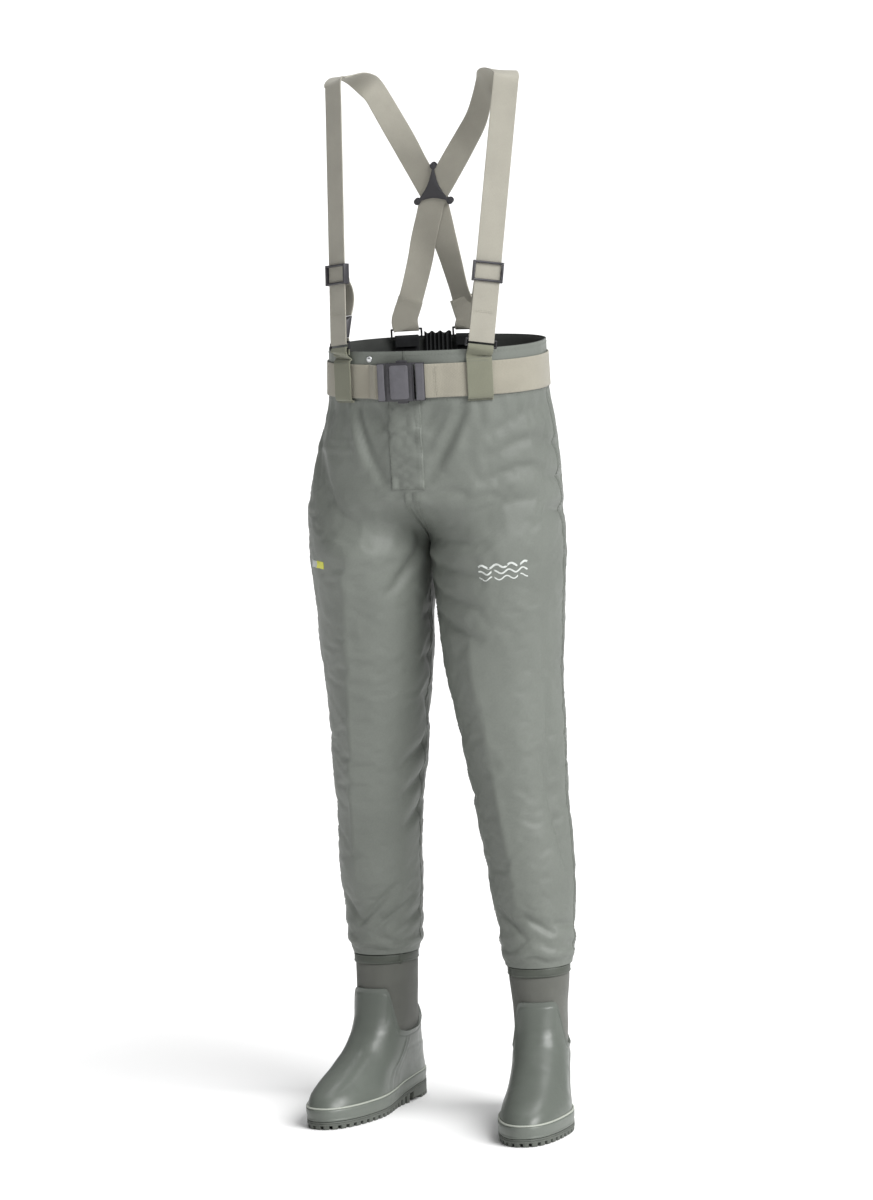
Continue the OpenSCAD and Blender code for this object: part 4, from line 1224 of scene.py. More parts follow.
def make_straps():
    for side in (RIGHT, LEFT):
        solid, thread = Solid(), Solid()
        points, normals = strap_path(side)
        line, facing, across = ribbon(solid, points, normals, STRAP_W, STRAP_T)
        name = f"strap_{SIDES[side]}"
        solid.build(name + "_webbing", STRAP, slot="strap_webbing", stands_for=[name], sharp=55)
        total = running_length(line)[-1]
        front_sew = 2 * FOLD_R * math.pi / 2 + 22
        band_stitches(thread, line, facing, across, front_sew + 26, 16.5, 0.95, rows=2)
        for back_off in (4, 9, 36):
            band_stitches(thread, line, facing, across, total - back_off, 16.5, 0.95)
        thread.build(name + "_stitches", THREAD_LIGHT, slot="strap_webbing", sharp=80)


KEEPER_HIGH, ADJUSTER_AT, ADJUSTER_BAR = 40, 101, 3.6
BAR_Y = STRAP_T / 2 + 0.35 + ADJUSTER_BAR / 2
RETURN_PATH = [(11.5, 40.3), (15, 52), (17, 66), (14.5, 80), (9.4, 90), (8.6, 95)]


def make_returns():
    bend = ADJUSTER_BAR / 2 + 0.3 + STRAP_T / 2
    for side in (RIGHT, LEFT):
        _, n, d = strap_axes(side)
        points = [strap_point(side, 0, y, z) for y, z in RETURN_PATH]
        normals = [-n] * len(RETURN_PATH)
        for a in (0, 30, 60, 90):
            points.append(strap_point(side, 0, BAR_Y + bend * cos_d(a), ADJUSTER_AT + bend * sin_d(a)))
            normals.append(-n * cos_d(a) + d * sin_d(a))
        solid = Solid()
        ribbon(solid, points, normals, STRAP_W - 2, STRAP_T)
        name = f"strap_return_{SIDES[side]}"
        obj = solid.build(
            name + "_webbing", STRAP,
            body=None, slot="strap_webbing", stands_for=[name], sharp=55,
        )
        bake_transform(obj)


BELT_Z, BELT_W, BELT_T, BELT_OUT = 1113, 50, 2, 0.6
BELT_LOW, BELT_HIGH = BELT_Z - BELT_W / 2, BELT_Z + BELT_W / 2
BUCKLE_X, BUCKLE_Y = -15, -127.6
BOX_LEFT, BOX_RIGHT = BUCKLE_X - 21, BUCKLE_X + 17
FEMALE_BAR = (BOX_RIGHT + 8.5, BUCKLE_Y + 1)
MALE_BAR = (BOX_LEFT - GAP - 7, BUCKLE_Y)
BAR_R = 2
LOOP_SHIFT = (7, -7)
LOOP_ZS = (1081, 1084, 1087, 1113, 1141, 1146)


def belt_strip(solid, low, high, thick=BELT_T):
    """Belt webbing between a lower and an upper edge line, which are its inner corners."""
    low, high, _ = respaced(low, high, step=3.0)
    run = unit(np.gradient(low, axis=0))
    up = unit(high - low)
    facing = unit(np.cross(run, up))
    section = webbing_section(BELT_W, thick)
    share = (section[:, 0] / BELT_W + 0.5)[None, :, None]
    rings = mix(low[:, None], high[:, None], share) + facing[:, None] * (section[None, :, 1:] + thick / 2)
    along = running_length(low)
    u = np.concatenate([section[:, 0], section[:1, 0]])
    shape = (len(low), len(u))
    places = np.dstack([np.broadcast_to(u, shape), np.broadcast_to(along[:, None], shape)])
    solid.tube(rings[:, ::-1], places[:, ::-1])
    return low, facing


def upright(xy, z):
    return np.array([[x, y, z] for x, y in xy], float)


def bar_wrap(bar, towards):
    """The belt's way behind a bar, round it and a little way back. towards is +1 or -1 in x."""
    r = BAR_R + 0.2
    x, y = bar
    first = [(x + towards * 11.5, y + r + 1.1), (x + towards * 6, y + r + 0.6)]
    arc = [(x - towards * r * sin_d(a), y + r * cos_d(a)) for a in range(0, 181, 20)]
    last = [(x + towards * 2.5, y - r * 0.96), (x + towards * 3.6, y - 1.0)]
    return first + arc + last


def make_belt():
    start = hip_angle(BELT_Z, 46)
    finish = 360 + hip_angle(BELT_Z, -94)
    angles = np.linspace(start, finish, 300)
    slack = 0.35 * (1 + np.sin(np.linspace(0, 60, 300))) * 0.5
    low = hip_point(BELT_LOW, angles, BELT_OUT + slack)
    high = hip_point(BELT_HIGH, angles, BELT_OUT + slack * 0.4)
    wrap = bar_wrap(FEMALE_BAR, 1)[::-1]
    solid = Solid()
    belt_strip(solid, np.vstack([upright(wrap, BELT_LOW), low]), np.vstack([upright(wrap, BELT_HIGH), high]))
    solid.build("belt_webbing_woven", BELT, slot="belt_webbing", stands_for=["belt_webbing"], sharp=55)
    angles = np.linspace(360 + hip_angle(BELT_Z, -93.5), 360 + hip_angle(BELT_Z, -66), 24)
    low, high = hip_point(BELT_LOW, angles, BELT_OUT), hip_point(BELT_HIGH, angles, BELT_OUT)
    wrap = bar_wrap(MALE_BAR, -1)
    solid = Solid()
    belt_strip(solid, np.vstack([low, upright(wrap, BELT_LOW)]), np.vstack([high, upright(wrap, BELT_HIGH)]))
    stretch = solid.build(
        "belt_stretch_woven", BELT,
        body=None, slot="belt_webbing", stands_for=["belt_stretch"], sharp=55,
    )
    start, end = frame_point((-92, BUCKLE_Y, BELT_Z)), frame_point((MALE_BAR[0] - 5, BUCKLE_Y, BELT_Z))
    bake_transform(stretch)
    thread = Solid()
    for x in (FEMALE_BAR[0] + 23, FEMALE_BAR[0] + 26):
        base = hip_point(BELT_Z, hip_angle(BELT_Z, 46), 0)
        y = mix(-121.6, base[1] - 2.7, (x - 22) / 24)
        zs = np.linspace(BELT_LOW + 2, BELT_HIGH - 2, 20)
        stitches(thread, [(x, y - 2.1, z) for z in zs], [(0, -1, 0)] * 20)
    thread.build("belt_end_stitches", THREAD_LIGHT, slot="belt_webbing", sharp=80)


def make_loops():
    for side in (RIGHT, LEFT):
        _, n, d = strap_axes(side)
        yaw = yaw_normal(STRAP_YAW[side])
        x = RING_AT[side][0] + LOOP_SHIFT[side]
        points, normals = [], []
        for z in LOOP_ZS:
            out = BELT_T + 3.4 if BELT_LOW - 3 < z < BELT_HIGH + 5 else 0.6
            y = hip_point(z, hip_angle(z, x), 0)[1]
            points.append(np.array([x, y, z]) + yaw * (out + STRAP_T / 2))
            normals.append(yaw)
        points.append(strap_point(side, 0, 0, -RING_TALL - 5))
        normals.append(n)
        for a in FOLD_STEPS:
            points.append(strap_point(side, 0, FOLD_R + FOLD_R * sin_d(a), -RING_TALL + FOLD_R * cos_d(a)))
            normals.append(d * cos_d(a) - n * sin_d(a))
        points.append(strap_point(side, 0, 2 * FOLD_R, -RING_TALL - 9))
        normals.append(-n)
        solid, thread = Solid(), Solid()
        line, facing, across = ribbon(solid, points, normals, STRAP_W, STRAP_T)
        name = f"belt_loop_{SIDES[side]}"
        solid.build(name + "_webbing", LOOP, slot="loop_webbing", stands_for=[name], sharp=55)
        for at in (2.0, 62.0, 66.0):
            band_stitches(thread, line, facing, across, at, 16.5, 0.95)
        thread.build(name + "_stitches", THREAD, slot="loop_webbing", sharp=80)


def make_rear_tabs():
    for side in (RIGHT, LEFT):
        n = rear_normal(REAR_YAW[side])
        points = [rear_point(side, FOLD_R, z) for z in (-62, -34)]
        points += [rear_point(side, -FOLD_R * sin_d(a), -REAR_TALL + FOLD_R * cos_d(a)) for a in FOLD_STEPS]
        points += [rear_point(side, -FOLD_R, -REAR_TALL - 14)]
        normals = [n, n] + [np.array([0, 0, cos_d(a)]) - n * sin_d(a) for a in FOLD_STEPS] + [-n]
        solid = Solid()
        ribbon(solid, points, normals, STRAP_W - 2, STRAP_T)
        name = f"rear_tab_{SIDES[side]}"
        solid.build(name + "_webbing", ELASTIC, slot="lining_fabric", stands_for=[name], sharp=55)


# ---- Hardware ------------------------------------------------------------------------
def rounded_plate(solid, centre, width, height, depth, radius, crown=0.0):
    """A plate facing -Y with round corners, its back at the centre's y."""
    corner = [(sx * (width / 2 - radius), sz * (height / 2 - radius), start)
              for sx, sz, start in ((1, 1, 0), (-1, 1, 90), (-1, -1, 180), (1, -1, 270))]
    outline = [(cx + radius * cos_d(start + a), cz + radius * sin_d(start + a))
               for cx, cz, start in corner for a in (0, 18, 36, 54, 72, 90)]
    outline = np.array(outline)
    rings = []
    edge = ((1.0, 0.0), (1.0, depth - 0.7), (0.985, depth - 0.2), (0.95, depth), (0.5, depth + crown))
    for share, out in edge:
        ring = [[centre[0] + x * share, centre[1] - out, centre[2] + z * share] for x, z in outline]
        rings.append(ring)
    rings = np.array(rings)
    solid.tube(rings, np.zeros((len(rings), len(outline) + 1, 2)))


def make_buckle():
    refined("buckle_female", PLASTIC, "root", 0.7)
    refined("buckle_male", PLASTIC, "buckle_male", 0.7)
    refined("latch_arm_upper", PLASTIC, "latch_upper", 0.8)
    refined("latch_arm_lower", PLASTIC, "latch_lower", 0.8)
    middle = (BOX_LEFT + BOX_RIGHT) / 2
    # The cover plates over the box and the female bar take the lighter plastic, a painted highlight on the
    # black buckle.
    cover = Solid()
    rounded_plate(cover, (middle, BUCKLE_Y - 6, BELT_Z), 28, 50, 1.5, 4, 0.35)
    rounded_plate(cover, (BOX_RIGHT + 11.8, BUCKLE_Y - 3.6, BELT_Z), 12.4, 54, 1.2, 1.6, 0.2)
    cover.build("buckle_cover", PAINTED_HIGHLIGHT_PLASTIC, slot="black_plastic", sharp=30)
    ridges = Solid()
    for side in (-1, 1):
        for k in range(4):
            at = (middle + side * 16.6, BUCKLE_Y - 6, BELT_Z + (k - 1.5) * 9)
            rounded_plate(ridges, at, 1.5, 5.5, 0.8, 0.6)
    ridges.build("buckle_ridges", PLASTIC, slot="black_plastic", sharp=30)
    # The male bar's plate also takes the lighter plastic as a painted highlight.
    bar = Solid()
    rounded_plate(bar, (MALE_BAR[0] - 1.6, BUCKLE_Y - 4.5, BELT_Z), 10.4, 54, 1.0, 1.2, 0.2)
    bar.build("buckle_male_bar_cover", PAINTED_HIGHLIGHT_PLASTIC, body="buckle_male", slot="black_plastic", sharp=30)
    for name, body, up in (("upper", "latch_upper", 1), ("lower", "latch_lower", -1)):
        grip = Solid()
        low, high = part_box(f"latch_arm_{name}")
        top = (high.z if up > 0 else low.z) / MM
        for k in range(5):
            x = high.x / MM - SHIFT[0] - 3.0 - 2.4 * k
            corners = []
            for z in (top - up * 0.8, top + up * 0.55):
                for dx, dy in ((-0.55, -2.2), (0.55, -2.2), (0.55, 2.2), (-0.55, 2.2)):
                    corners.append((x + dx, BUCKLE_Y + dy, z))
            if up < 0:
                corners = corners[4:] + corners[:4]
            grip.block(corners)
        grip.build(f"latch_grip_{name}", PLASTIC, body=body, slot="black_plastic", sharp=30, bevel=0.25)


RIVET = ((2.9, -0.3), (2.9, 0.3), (2.3, 0.75), (1.3, 0.8), (1.1, 0.45), (0.2, 0.45))


def make_hardware():
    make_buckle()
    for side in SIDES:
        refined(f"adjuster_{side}", PLASTIC, f"adjuster_{side}", 0.6)
        refined(f"strap_keeper_{side}", PLASTIC, "root", 0.9)
    for node in ("crossback_front_plate", "crossback_back_plate"):
        refined(node, PLASTIC, "root", 0.5)
    rivets = Solid()
    lean = unit([0, 1, LEAN])
    up = unit([0, -LEAN, 1])
    for x, z in ((-25, -6), (25, -6), (4, 48)):
        for out in (-4.8, 4.8):
            at = CROSS_AT + np.array([x, 0, 0]) + up * z + lean * out
            face = lean * np.sign(out)
            turn = np.linspace(0, 2 * math.pi, 24, endpoint=False)
            spokes = [np.array([1, 0, 0]) * math.cos(a) + up * math.sin(a) * -np.sign(out) for a in turn]
            rings = [[at + face * h + spoke * r for spoke in spokes] for r, h in RIVET]
            rivets.tube(rings, np.zeros((6, 25, 2)))
    rivets.build("crossback_rivets", PLASTIC, slot="black_plastic", sharp=40)


# ---- Boots ---------------------------------------------------------------------------
ANKLE = [(-130, 60), (132, -60)]
TOE_OUT = (-18.5, 6.5)
TOE_REACH = [(0, 226), (20, 228), (40, 216), (58, 190), (74, 150), (92, 112), (112, 86),
             (135, 70), (182, 58), (245, 50)]
HEEL_REACH = [(0, 72), (20, 75), (60, 71), (100, 61), (150, 54), (200, 51), (245, 50)]
BALL_HALF = [(0, 54), (20, 56), (40, 52), (60, 47), (85, 44), (112, 43), (160, 43), (215, 48), (245, 49)]
HEEL_HALF = [(0, 37), (20, 39), (60, 37), (112, 41), (160, 43), (215, 48), (245, 49)]
TOE_IN = 9
COLLAR = [(0, 182), (34, 182), (44, 168), (54, 140), (66, 118), (85, 112), (115, 113), (145, 126),
          (168, 149), (180, 152)]
RUBBER_T, NEOPRENE_T, SOLE_OUT, PLATE_H = 3, 4, 3.6, 6


def smooth_lookup(h, table, width=7):
    """The table with its corners rounded over a few millimetres."""
    return sum(lookup(h + d, table) * w for d, w in ((-width, 0.25), (0, 0.5), (width, 0.25)))


def bed(y):
    return 12 + 11 * ease((y + 70) / 90)


def foot_point(side, h, angle, out):
    """A point on the boot: angle 0 is the back of the heel and 180 the tip of the toe."""
    h, angle, out = np.broadcast_arrays(np.asarray(h, float), angle, out)
    turn = np.radians(angle)
    s = (1 - np.cos(turn)) / 2
    front, back = smooth_lookup(h, TOE_REACH) + out, smooth_lookup(h, HEEL_REACH) + out
    y = back - (front + back) * s
    wide = mix(smooth_lookup(h, HEEL_HALF), smooth_lookup(h, BALL_HALF), ease((s - 0.3) / 0.4))
    wide = wide - 4 * (1 - ease(h / 60)) * np.exp(-(((s - 0.4) / 0.12) ** 2))
    bend = -SIGN[side] * TOE_IN * ease((s - 0.5) / 0.5) * (1 - ease(h / 100))
    x = -(wide + out) * spow(np.sin(turn), 0.85) + bend
    z = h + bed(y) * (1 - ease(h / 80))
    c, q = cos_d(TOE_OUT[side]), sin_d(TOE_OUT[side])
    return np.stack([ANKLE[side][0] + x * c - y * q, ANKLE[side][1] + x * q + y * c, z], -1)


def foot_angles(count):
    return np.linspace(0, 360, count, endpoint=False)


def collar_height(angle):
    off = np.abs(angle - 180)
    return sum(lookup(np.abs(off + d), COLLAR) * w for d, w in ((-5, 0.25), (0, 0.5), (5, 0.25)))


def make_boot_shell(side):
    angles = foot_angles(160)[None, :]
    share = np.concatenate([np.linspace(0, 0.9, 60, endpoint=False), np.linspace(0.9, 1, 12)])[:, None]
    h = share * collar_height(angles)
    edge = (collar_height(angles) - h)
    relief = 0.9 * (1 - ease(edge / 4)) - 0.7 * bump(edge, 6.5, 2.2)
    off = np.abs(angles - 180)
    counter = ease((off - 96) / 3) * ease((86 - h) / 4)
    relief = relief + 0.9 * counter
    for at in (88, 94):
        relief = relief + 1.4 * bump(off, at, 1.7) * ease((106 - h) / 8) * ease((h - 20) / 6)
    instep = bump(off, 0, 60)
    relief = relief - 1.7 * instep * bump(h, 96 - off * 0.12, 11)
    relief = relief - 1.2 * instep * bump(h, 122 - off * 0.1, 9)
    relief = relief + 0.8 * instep * bump(h, 109, 8)
    relief = relief + 0.5 * ease((40 - off) / 3) * ease((h - 128) / 5) * ease(edge / 7)
    probe = foot_point(side, h, angles, 0)
    relief = relief + 0.45 * lumps(probe, 34, 21 + side) * ease(h / 30)
    outer = foot_point(side, h, angles, relief)
    inner = foot_point(side, h, angles, -RUBBER_T + 0 * h)
    solid = Solid()
    solid.sheet(outer, inner, wrapped_places(outer), wrap=True)
    name = f"boot_upper_{SIDES[side]}"
    solid.build(name + "_shell", RUBBER, slot="boot_rubber", stands_for=[name], sharp=50)


def boot_ring(side, section, name, material, slot, stands_for):
    """A band round the boot whose section is a list of (height, out) points, outer face first."""
    angles = foot_angles(160)
    rings = np.array([foot_point(side, h, angles, out) for h, out in section])
    count = len(section)
    solid = Solid()
    places = wrapped_places(np.concatenate([rings, rings[:1]]))
    points = rings.reshape(-1, 3)
    faces, spots = [], []
    cols = len(angles)
    for k in range(count):
        n = (k + 1) % count
        for c in range(cols):
            d = (c + 1) % cols
            faces.append([k * cols + c, k * cols + d, n * cols + d, n * cols + c])
            corners = ((k, c), (k, c + 1), (k + 1, c + 1), (k + 1, c))
            spots += [places[i, j].tolist() for i, j in corners]
    solid.add(points, faces, spots)
    return solid.build(name, material, slot=slot, stands_for=stands_for, sharp=50)


def make_bands(side):
    word = SIDES[side]
    rand = [(0.2, 0.3), (0.2, 2.6), (1.0, 3.3), (2.6, 3.4), (3.4, 2.7), (5, 2.7), (12, 2.9),
            (17.5, 2.8), (19.4, 2.2), (20, 1.2), (20, 0.3)]
    boot_ring(side, rand, f"boot_rand_{word}_band", RAND, "boot_rubber", [f"boot_rand_{word}"])
    piping = [(20.1, 0.3), (20.1, 1.8), (20.6, 2.5), (21.4, 2.8), (22.2, 2.5), (22.8, 1.7), (22.9, 0.3)]
    boot_ring(side, piping, f"boot_piping_{word}_line", PIPING, "piping_rubber", [f"boot_piping_{word}"])


def make_back_stay(side):
    hs = np.linspace(24, 148, 60)
    spread = np.linspace(-1, 1, 25)
    wide = np.interp(hs, [24, 60, 120, 148], [17, 13, 12, 16])
    angles = spread[None, :] * wide[:, None]
    lines = 0.7 * bump(np.abs(spread), 0.8, 0.14)[None, :]
    raised = 1.3 + lines - 0.9 * ease((np.abs(spread) - 0.9) / 0.1)[None, :]
    ends = ease((hs - 24) / 3)[:, None] * ease((148 - hs) / 3)[:, None]
    outer = foot_point(side, hs[:, None], angles, 0.5 + raised * ends)
    inner = foot_point(side, hs[:, None], angles, 0.1)
    solid = Solid()
    solid.sheet(outer[:, ::-1], inner[:, ::-1], even_places(outer[:, ::-1]))
    name = f"back_stay_{SIDES[side]}"
    solid.build(name + "_strip", RUBBER, slot="boot_rubber", stands_for=[name], sharp=50)


def make_shaft(side):
    hs = np.concatenate([[74, 90], np.linspace(100, 242, 62)])
    angles = foot_angles(140)
    h, a = hs[:, None], angles[None, :]
    probe = foot_point(side, h, a, 0)
    creases = -0.9 * bump(h, 176 + 6 * np.sin(np.radians(a * 2)), 10)
    creases = creases - 0.7 * bump(h, 146 + 5 * np.sin(np.radians(a * 3 + 60)), 8)
    above = ease((h - collar_height(a)) / 6)
    out = -3.6 + (0.5 + creases * bump(np.abs(a - 180), 0, 120) + 0.6 * lumps(probe, 40, 31 + side)) * above
    out = out - 1.4 * ease((h - 214) / 8)
    outer = foot_point(side, h, a, out)
    inner = foot_point(side, h, a, out - NEOPRENE_T + 0.6)
    solid = Solid()
    solid.sheet(outer, inner, wrapped_places(outer), wrap=True)
    name = f"neoprene_shaft_{SIDES[side]}"
    solid.build(name + "_sleeve", NEOPRENE, slot="neoprene", stands_for=[name], sharp=60)


def make_cuff(side):
    word = SIDES[side]
    section = [(218, -4.8), (218, -2.4), (218.7, -1.7), (224, -1.5),
               (229.5, -1.5), (231.6, -1.9), (232, -2.6), (232, -4.8)]
    boot_ring(side, section, f"cuff_tape_{word}_band", TAPE, "seam_tape", [f"cuff_tape_{word}"])
    thread = Solid()
    for h in (220.2, 229.8):
        ring = foot_point(side, h, np.linspace(0, 360, 200), -1.45)
        centre = ring.mean(0)
        stitches(thread, ring, unit((ring - centre) * [1, 1, 0]), length=2.8, gap=1.4, radius=0.3)
    a = 240 if side == RIGHT else 120
    thread.build(f"cuff_stitches_{word}", THREAD, slot="seam_tape", sharp=80)
    seam = Solid()
    angles = np.linspace(a - 2.4, a + 2.4, 5)
    hs = np.linspace(217.4, 232.6, 6)[:, None]
    outer = foot_point(side, hs, angles[None, :], -0.8)
    inner = foot_point(side, hs, angles[None, :], -1.9)
    seam.sheet(outer[:, ::-1], inner[:, ::-1], even_places(outer[:, ::-1]))
    seam.build(f"cuff_join_{word}", TAPE, slot="seam_tape", sharp=60)


def along_outline(side, out, count=720):
    """The outline at h = 0 with its running length and outward directions."""
    line = foot_point(side, 0, np.linspace(0, 360, count), out)
    run = unit(np.gradient(line * [1, 1, 0], axis=0))
    outward = np.stack([run[:, 1], -run[:, 0], 0 * run[:, 0]], 1)
    centre = line.mean(0)
    if np.mean(((line - centre) * outward).sum(1)) < 0:
        outward = -outward
    return line, outward, running_length(line * [1, 1, 0])


def sole_top(side, points):
    """Height of the foot bed under each point."""
    c, q = cos_d(TOE_OUT[side]), sin_d(TOE_OUT[side])
    y = -(points[..., 0] - ANKLE[side][0]) * q + (points[..., 1] - ANKLE[side][1]) * c
    return bed(y), y


def sole_plate(solid, side):
    """The plate under the whole foot, with a groove round its side."""
    section = [(-0.4, 1.2), (-0.4, SOLE_OUT - 0.5), (-1.0, SOLE_OUT), (-2.2, SOLE_OUT), (-2.8, SOLE_OUT - 0.8),
               (-3.4, SOLE_OUT), (-5.6, SOLE_OUT), (-PLATE_H, SOLE_OUT - 0.4)]
    count = 160
    angles = np.linspace(0, 360, count, endpoint=False)
    rings = []
    for dz, out in section:
        ring = foot_point(side, 0, angles, out)
        ring[:, 2] = sole_top(side, ring)[0] + dz
        rings.append(ring)
    for dz in (-PLATE_H, -0.4):
        spine = foot_point(side, 0, angles, 0)
        other = spine[::-1]
        other = np.roll(other, 1, axis=0)
        middle = (spine + other) / 2
        for share in (0.5, 0.02):
            ring = mix(middle, spine, share)
            ring[:, 2] = sole_top(side, ring)[0] + dz
            rings.append(ring)
    low = rings[: len(section) + 2]
    high = rings[len(section) + 2:][::-1]
    order = np.array(high + low)
    order = order[::-1]
    solid.tube(order, wrapped_places(order))


def make_sole(side):
    word = SIDES[side]
    solid = Solid()
    sole_plate(solid, side)
    line, outward, along = along_outline(side, SOLE_OUT - 0.5)
    total = along[-1]
    pitch, wide, deep = 14.0, 9.0, 21.0
    lugs = Solid()
    for k in range(int(total / pitch)):
        s = (k + 0.5) * total / int(total / pitch)
        at = np.array([np.interp(s, along, line[:, j]) for j in range(3)])
        n = unit([np.interp(s, along, outward[:, j]) for j in range(3)])
        w = np.array([-n[1], n[0], 0])
        y = sole_top(side, at)[1]
        if y > -14:
            continue
        add_lug(lugs, side, at, n, w, wide, deep, 0.0)
    for y in np.arange(-30, -205, -15):
        for x in (-1, 1):
            half = 12 if y > -180 else 8
            c, q = cos_d(TOE_OUT[side]), sin_d(TOE_OUT[side])
            centre_x = x * (half + 1.5) - SIGN[side] * TOE_IN * float(ease((-y - 75) / 150)) * 0.7
            at = np.array([ANKLE[side][0] + centre_x * c - y * q, ANKLE[side][1] + centre_x * q + y * c, 0])
            turn = TOE_OUT[side] + x * 18
            n = np.array([sin_d(turn), -cos_d(turn), 0])
            w = np.array([cos_d(turn), sin_d(turn), 0])
            add_lug(lugs, side, at + n * 4, n, w, half * 1.6, 8, 0.8)
    solid.build(f"outsole_{word}_plate", SOLE, slot="sole_rubber", stands_for=[f"outsole_{word}"], sharp=40)
    lugs.build(f"outsole_{word}_lugs", SOLE, slot="sole_rubber", sharp=35, bevel=0.7)


def add_lug(lugs, side, at, n, w, wide, deep, low):
    """One lug: its outer face stands at a point, and it reaches inward from there and up into the plate."""
    feet = [at - w * wide / 2, at + w * wide / 2]
    feet += [at + w * wide / 2 * 0.8 - n * deep, at - w * wide / 2 * 0.8 - n * deep]
    if np.cross(feet[1] - feet[0], feet[2] - feet[1])[2] < 0:
        feet = feet[::-1]
    below, above = [], []
    for p in feet:
        top = float(sole_top(side, p)[0]) - PLATE_H + 0.6
        below.append([p[0], p[1], low])
        above.append([p[0], p[1], top])
    middle = np.mean(below, axis=0)
    below = [mix(middle, np.array(p), 0.93) for p in below]
    lugs.block(np.array(below + above))


def make_heel(side):
    """The heel block, with a tread of lugs below it."""
    word = SIDES[side]
    first, last = -60, 60
    angles = np.linspace(first, last, 90)
    rings = []
    wall = ((0.0, -1.2), (0.04, -0.6), (0.5, -0.4), (0.96, -0.4), (1.0, -0.8))
    for z_share, out in ((share, SOLE_OUT + more) for share, more in wall):
        ring = foot_point(side, 0, angles, out)
        breast = [mix(ring[-1], ring[0], u) for u in np.linspace(0, 1, 14)[1:-1]]
        ring = np.vstack([ring, breast])
        top = sole_top(side, ring)[0] - PLATE_H - 0.1
        ring[:, 2] = mix(4.6, top, z_share)
        rings.append(ring)
    rings = np.array(rings)
    if np.cross(rings[0, 1] - rings[0, 0], rings[1, 0] - rings[0, 0]) @ (rings[0, 0] - rings[0].mean(0)) < 0:
        rings = rings[:, ::-1]
    solid = Solid()
    solid.tube(rings, wrapped_places(rings))
    line, outward, along = along_outline(side, SOLE_OUT - 0.5)
    for s in np.arange(6, along[-1], 12.5):
        at = np.array([np.interp(s, along, line[:, j]) for j in range(3)])
        n = unit([np.interp(s, along, outward[:, j]) for j in range(3)])
        w = np.array([-n[1], n[0], 0])
        y = sole_top(side, at)[1]
        if y > 23:
            corners = [at - w * 4, at + w * 4, at + w * 3 - n * 20, at - w * 3 - n * 20]
            if np.cross(corners[1] - corners[0], corners[2] - corners[1])[2] < 0:
                corners = corners[::-1]
            solid.block([[p[0], p[1], 0.0] for p in corners] + [[p[0], p[1], 5.4] for p in corners])
    c, q = cos_d(TOE_OUT[side]), sin_d(TOE_OUT[side])
    for y in (24, 36, 48):
        corners = []
        for x, dy in ((-13, 0), (13, 0), (13, 7), (-13, 7)):
            corners.append((ANKLE[side][0] + x * c - (y + dy) * q, ANKLE[side][1] + x * q + (y + dy) * c))
        solid.block([[x, y2, 0.0] for x, y2 in corners] + [[x, y2, 5.4] for x, y2 in corners])
    solid.build(
        f"heel_block_{word}_tread", SOLE,
        slot="sole_rubber", stands_for=[f"heel_block_{word}"], sharp=35, bevel=0.5,
    )


def make_boots():
    for side in (RIGHT, LEFT):
        make_boot_shell(side)
        make_bands(side)
        make_back_stay(side)
        make_shaft(side)
        make_cuff(side)
        make_sole(side)
        make_heel(side)


# ---- Everything --------------------------------------------------------------------
make_panels()
make_seams()
make_fly()
make_waist()
make_overlap()
make_elastic()
make_snap()
make_prints()
make_straps()
make_returns()
make_belt()
make_loops()
make_rear_tabs()
make_hardware()
make_boots()

SLOT_OF = {s["node"]: s["material_slot"] for s in frame["record"]["subparts"]}
for node, obj in frame["nodes"].items():
    if not obj.hide_render:
        obj.data.materials.clear()
        obj.data.materials.append(CAD_PAINT[SLOT_OF[node]])


# ---- Floor, light and camera ----------------------------------------------------------
def floor_paint():
    p = Paint("floor", roughness=0.9, specular=0.1)
    p.colour(linear(244, 244, 244), p.spread(p.noise(3, 2), 0.995, 1.005))
    return p.material


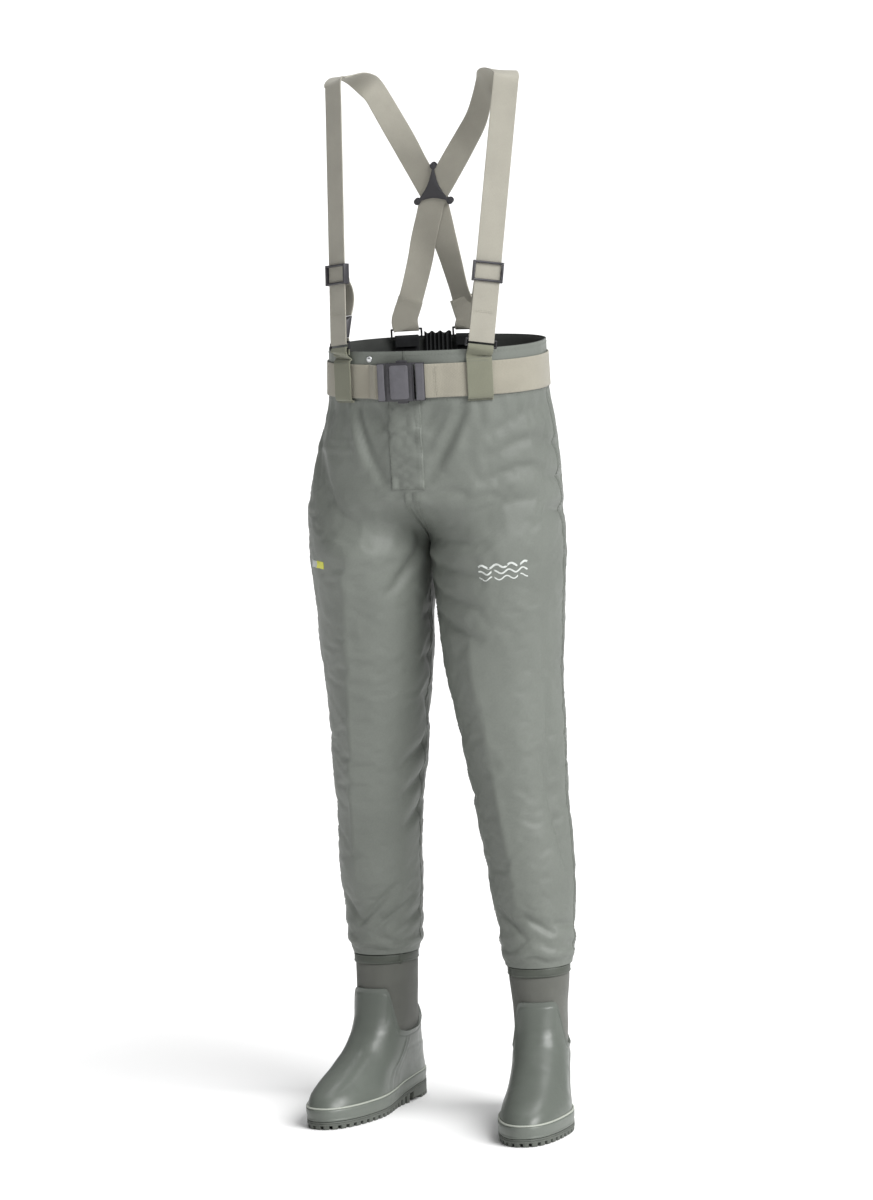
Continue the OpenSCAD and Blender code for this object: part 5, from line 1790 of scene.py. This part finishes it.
def make_stage():
    size = 120
    mesh = bpy.data.meshes.new("floor")
    corners = [(-size, -size, 0), (size, -size, 0), (size, size, 0), (-size, size, 0)]
    mesh.from_pydata(corners, [], [(0, 1, 2, 3)])
    floor = bpy.data.objects.new("floor", mesh)
    mesh.materials.append(floor_paint())
    bpy.context.scene.collection.objects.link(floor)
    world = bpy.data.worlds.new("studio")
    world.use_nodes = True
    world.node_tree.nodes["Background"].inputs["Color"].default_value = (1, 1, 1, 1)
    world.node_tree.nodes["Background"].inputs["Strength"].default_value = 0.22
    bpy.context.scene.world = world
    bpy.context.scene.view_settings.view_transform = "Standard"
    for name, direction, strength, spread in (
        ("key_light", (1.15, -0.7, 1.1), 4.1, 40),
        ("fill_light", (-0.6, -1.0, 0.7), 0.1, 50),
        ("top_light", (0.1, 0.3, 1.0), 1.3, 40),
    ):
        lamp = bpy.data.lights.new(name, "SUN")
        lamp.energy = strength
        lamp.angle = math.radians(spread)
        obj = bpy.data.objects.new(name, lamp)
        obj.rotation_mode = "QUATERNION"
        obj.rotation_quaternion = Vector(direction).to_track_quat("Z", "Y")
        bpy.context.scene.collection.objects.link(obj)


CAMERA_TURN, CAMERA_AWAY, CAMERA_HIGH, CAMERA_ROLL, CAMERA_LENS = 13.5, 10500, 2150, 3.0, 213
AIM_ASIDE, AIM_HIGH = -9.6, 772


def make_camera():
    turn = math.radians(CAMERA_TURN)
    aside = np.array([math.cos(turn), math.sin(turn), 0])
    away = np.array([math.sin(turn), -math.cos(turn), 0])
    aim = aside * AIM_ASIDE + [0, 0, AIM_HIGH]
    at = aside * AIM_ASIDE + away * CAMERA_AWAY + [0, 0, CAMERA_HIGH]
    lens = bpy.data.cameras.new("camera")
    lens.lens = CAMERA_LENS
    lens.sensor_width = 36
    lens.clip_end = 200
    camera = bpy.data.objects.new("camera", lens)
    look = Vector(aim - at).to_track_quat("-Z", "Y").to_matrix()
    roll = Matrix.Rotation(math.radians(-CAMERA_ROLL), 3, "Z")
    camera.matrix_world = Matrix.Translation(Vector(frame_point(at))) @ (look @ roll).to_4x4()
    bpy.context.scene.collection.objects.link(camera)
    bpy.context.scene.camera = camera


make_stage()
make_camera()
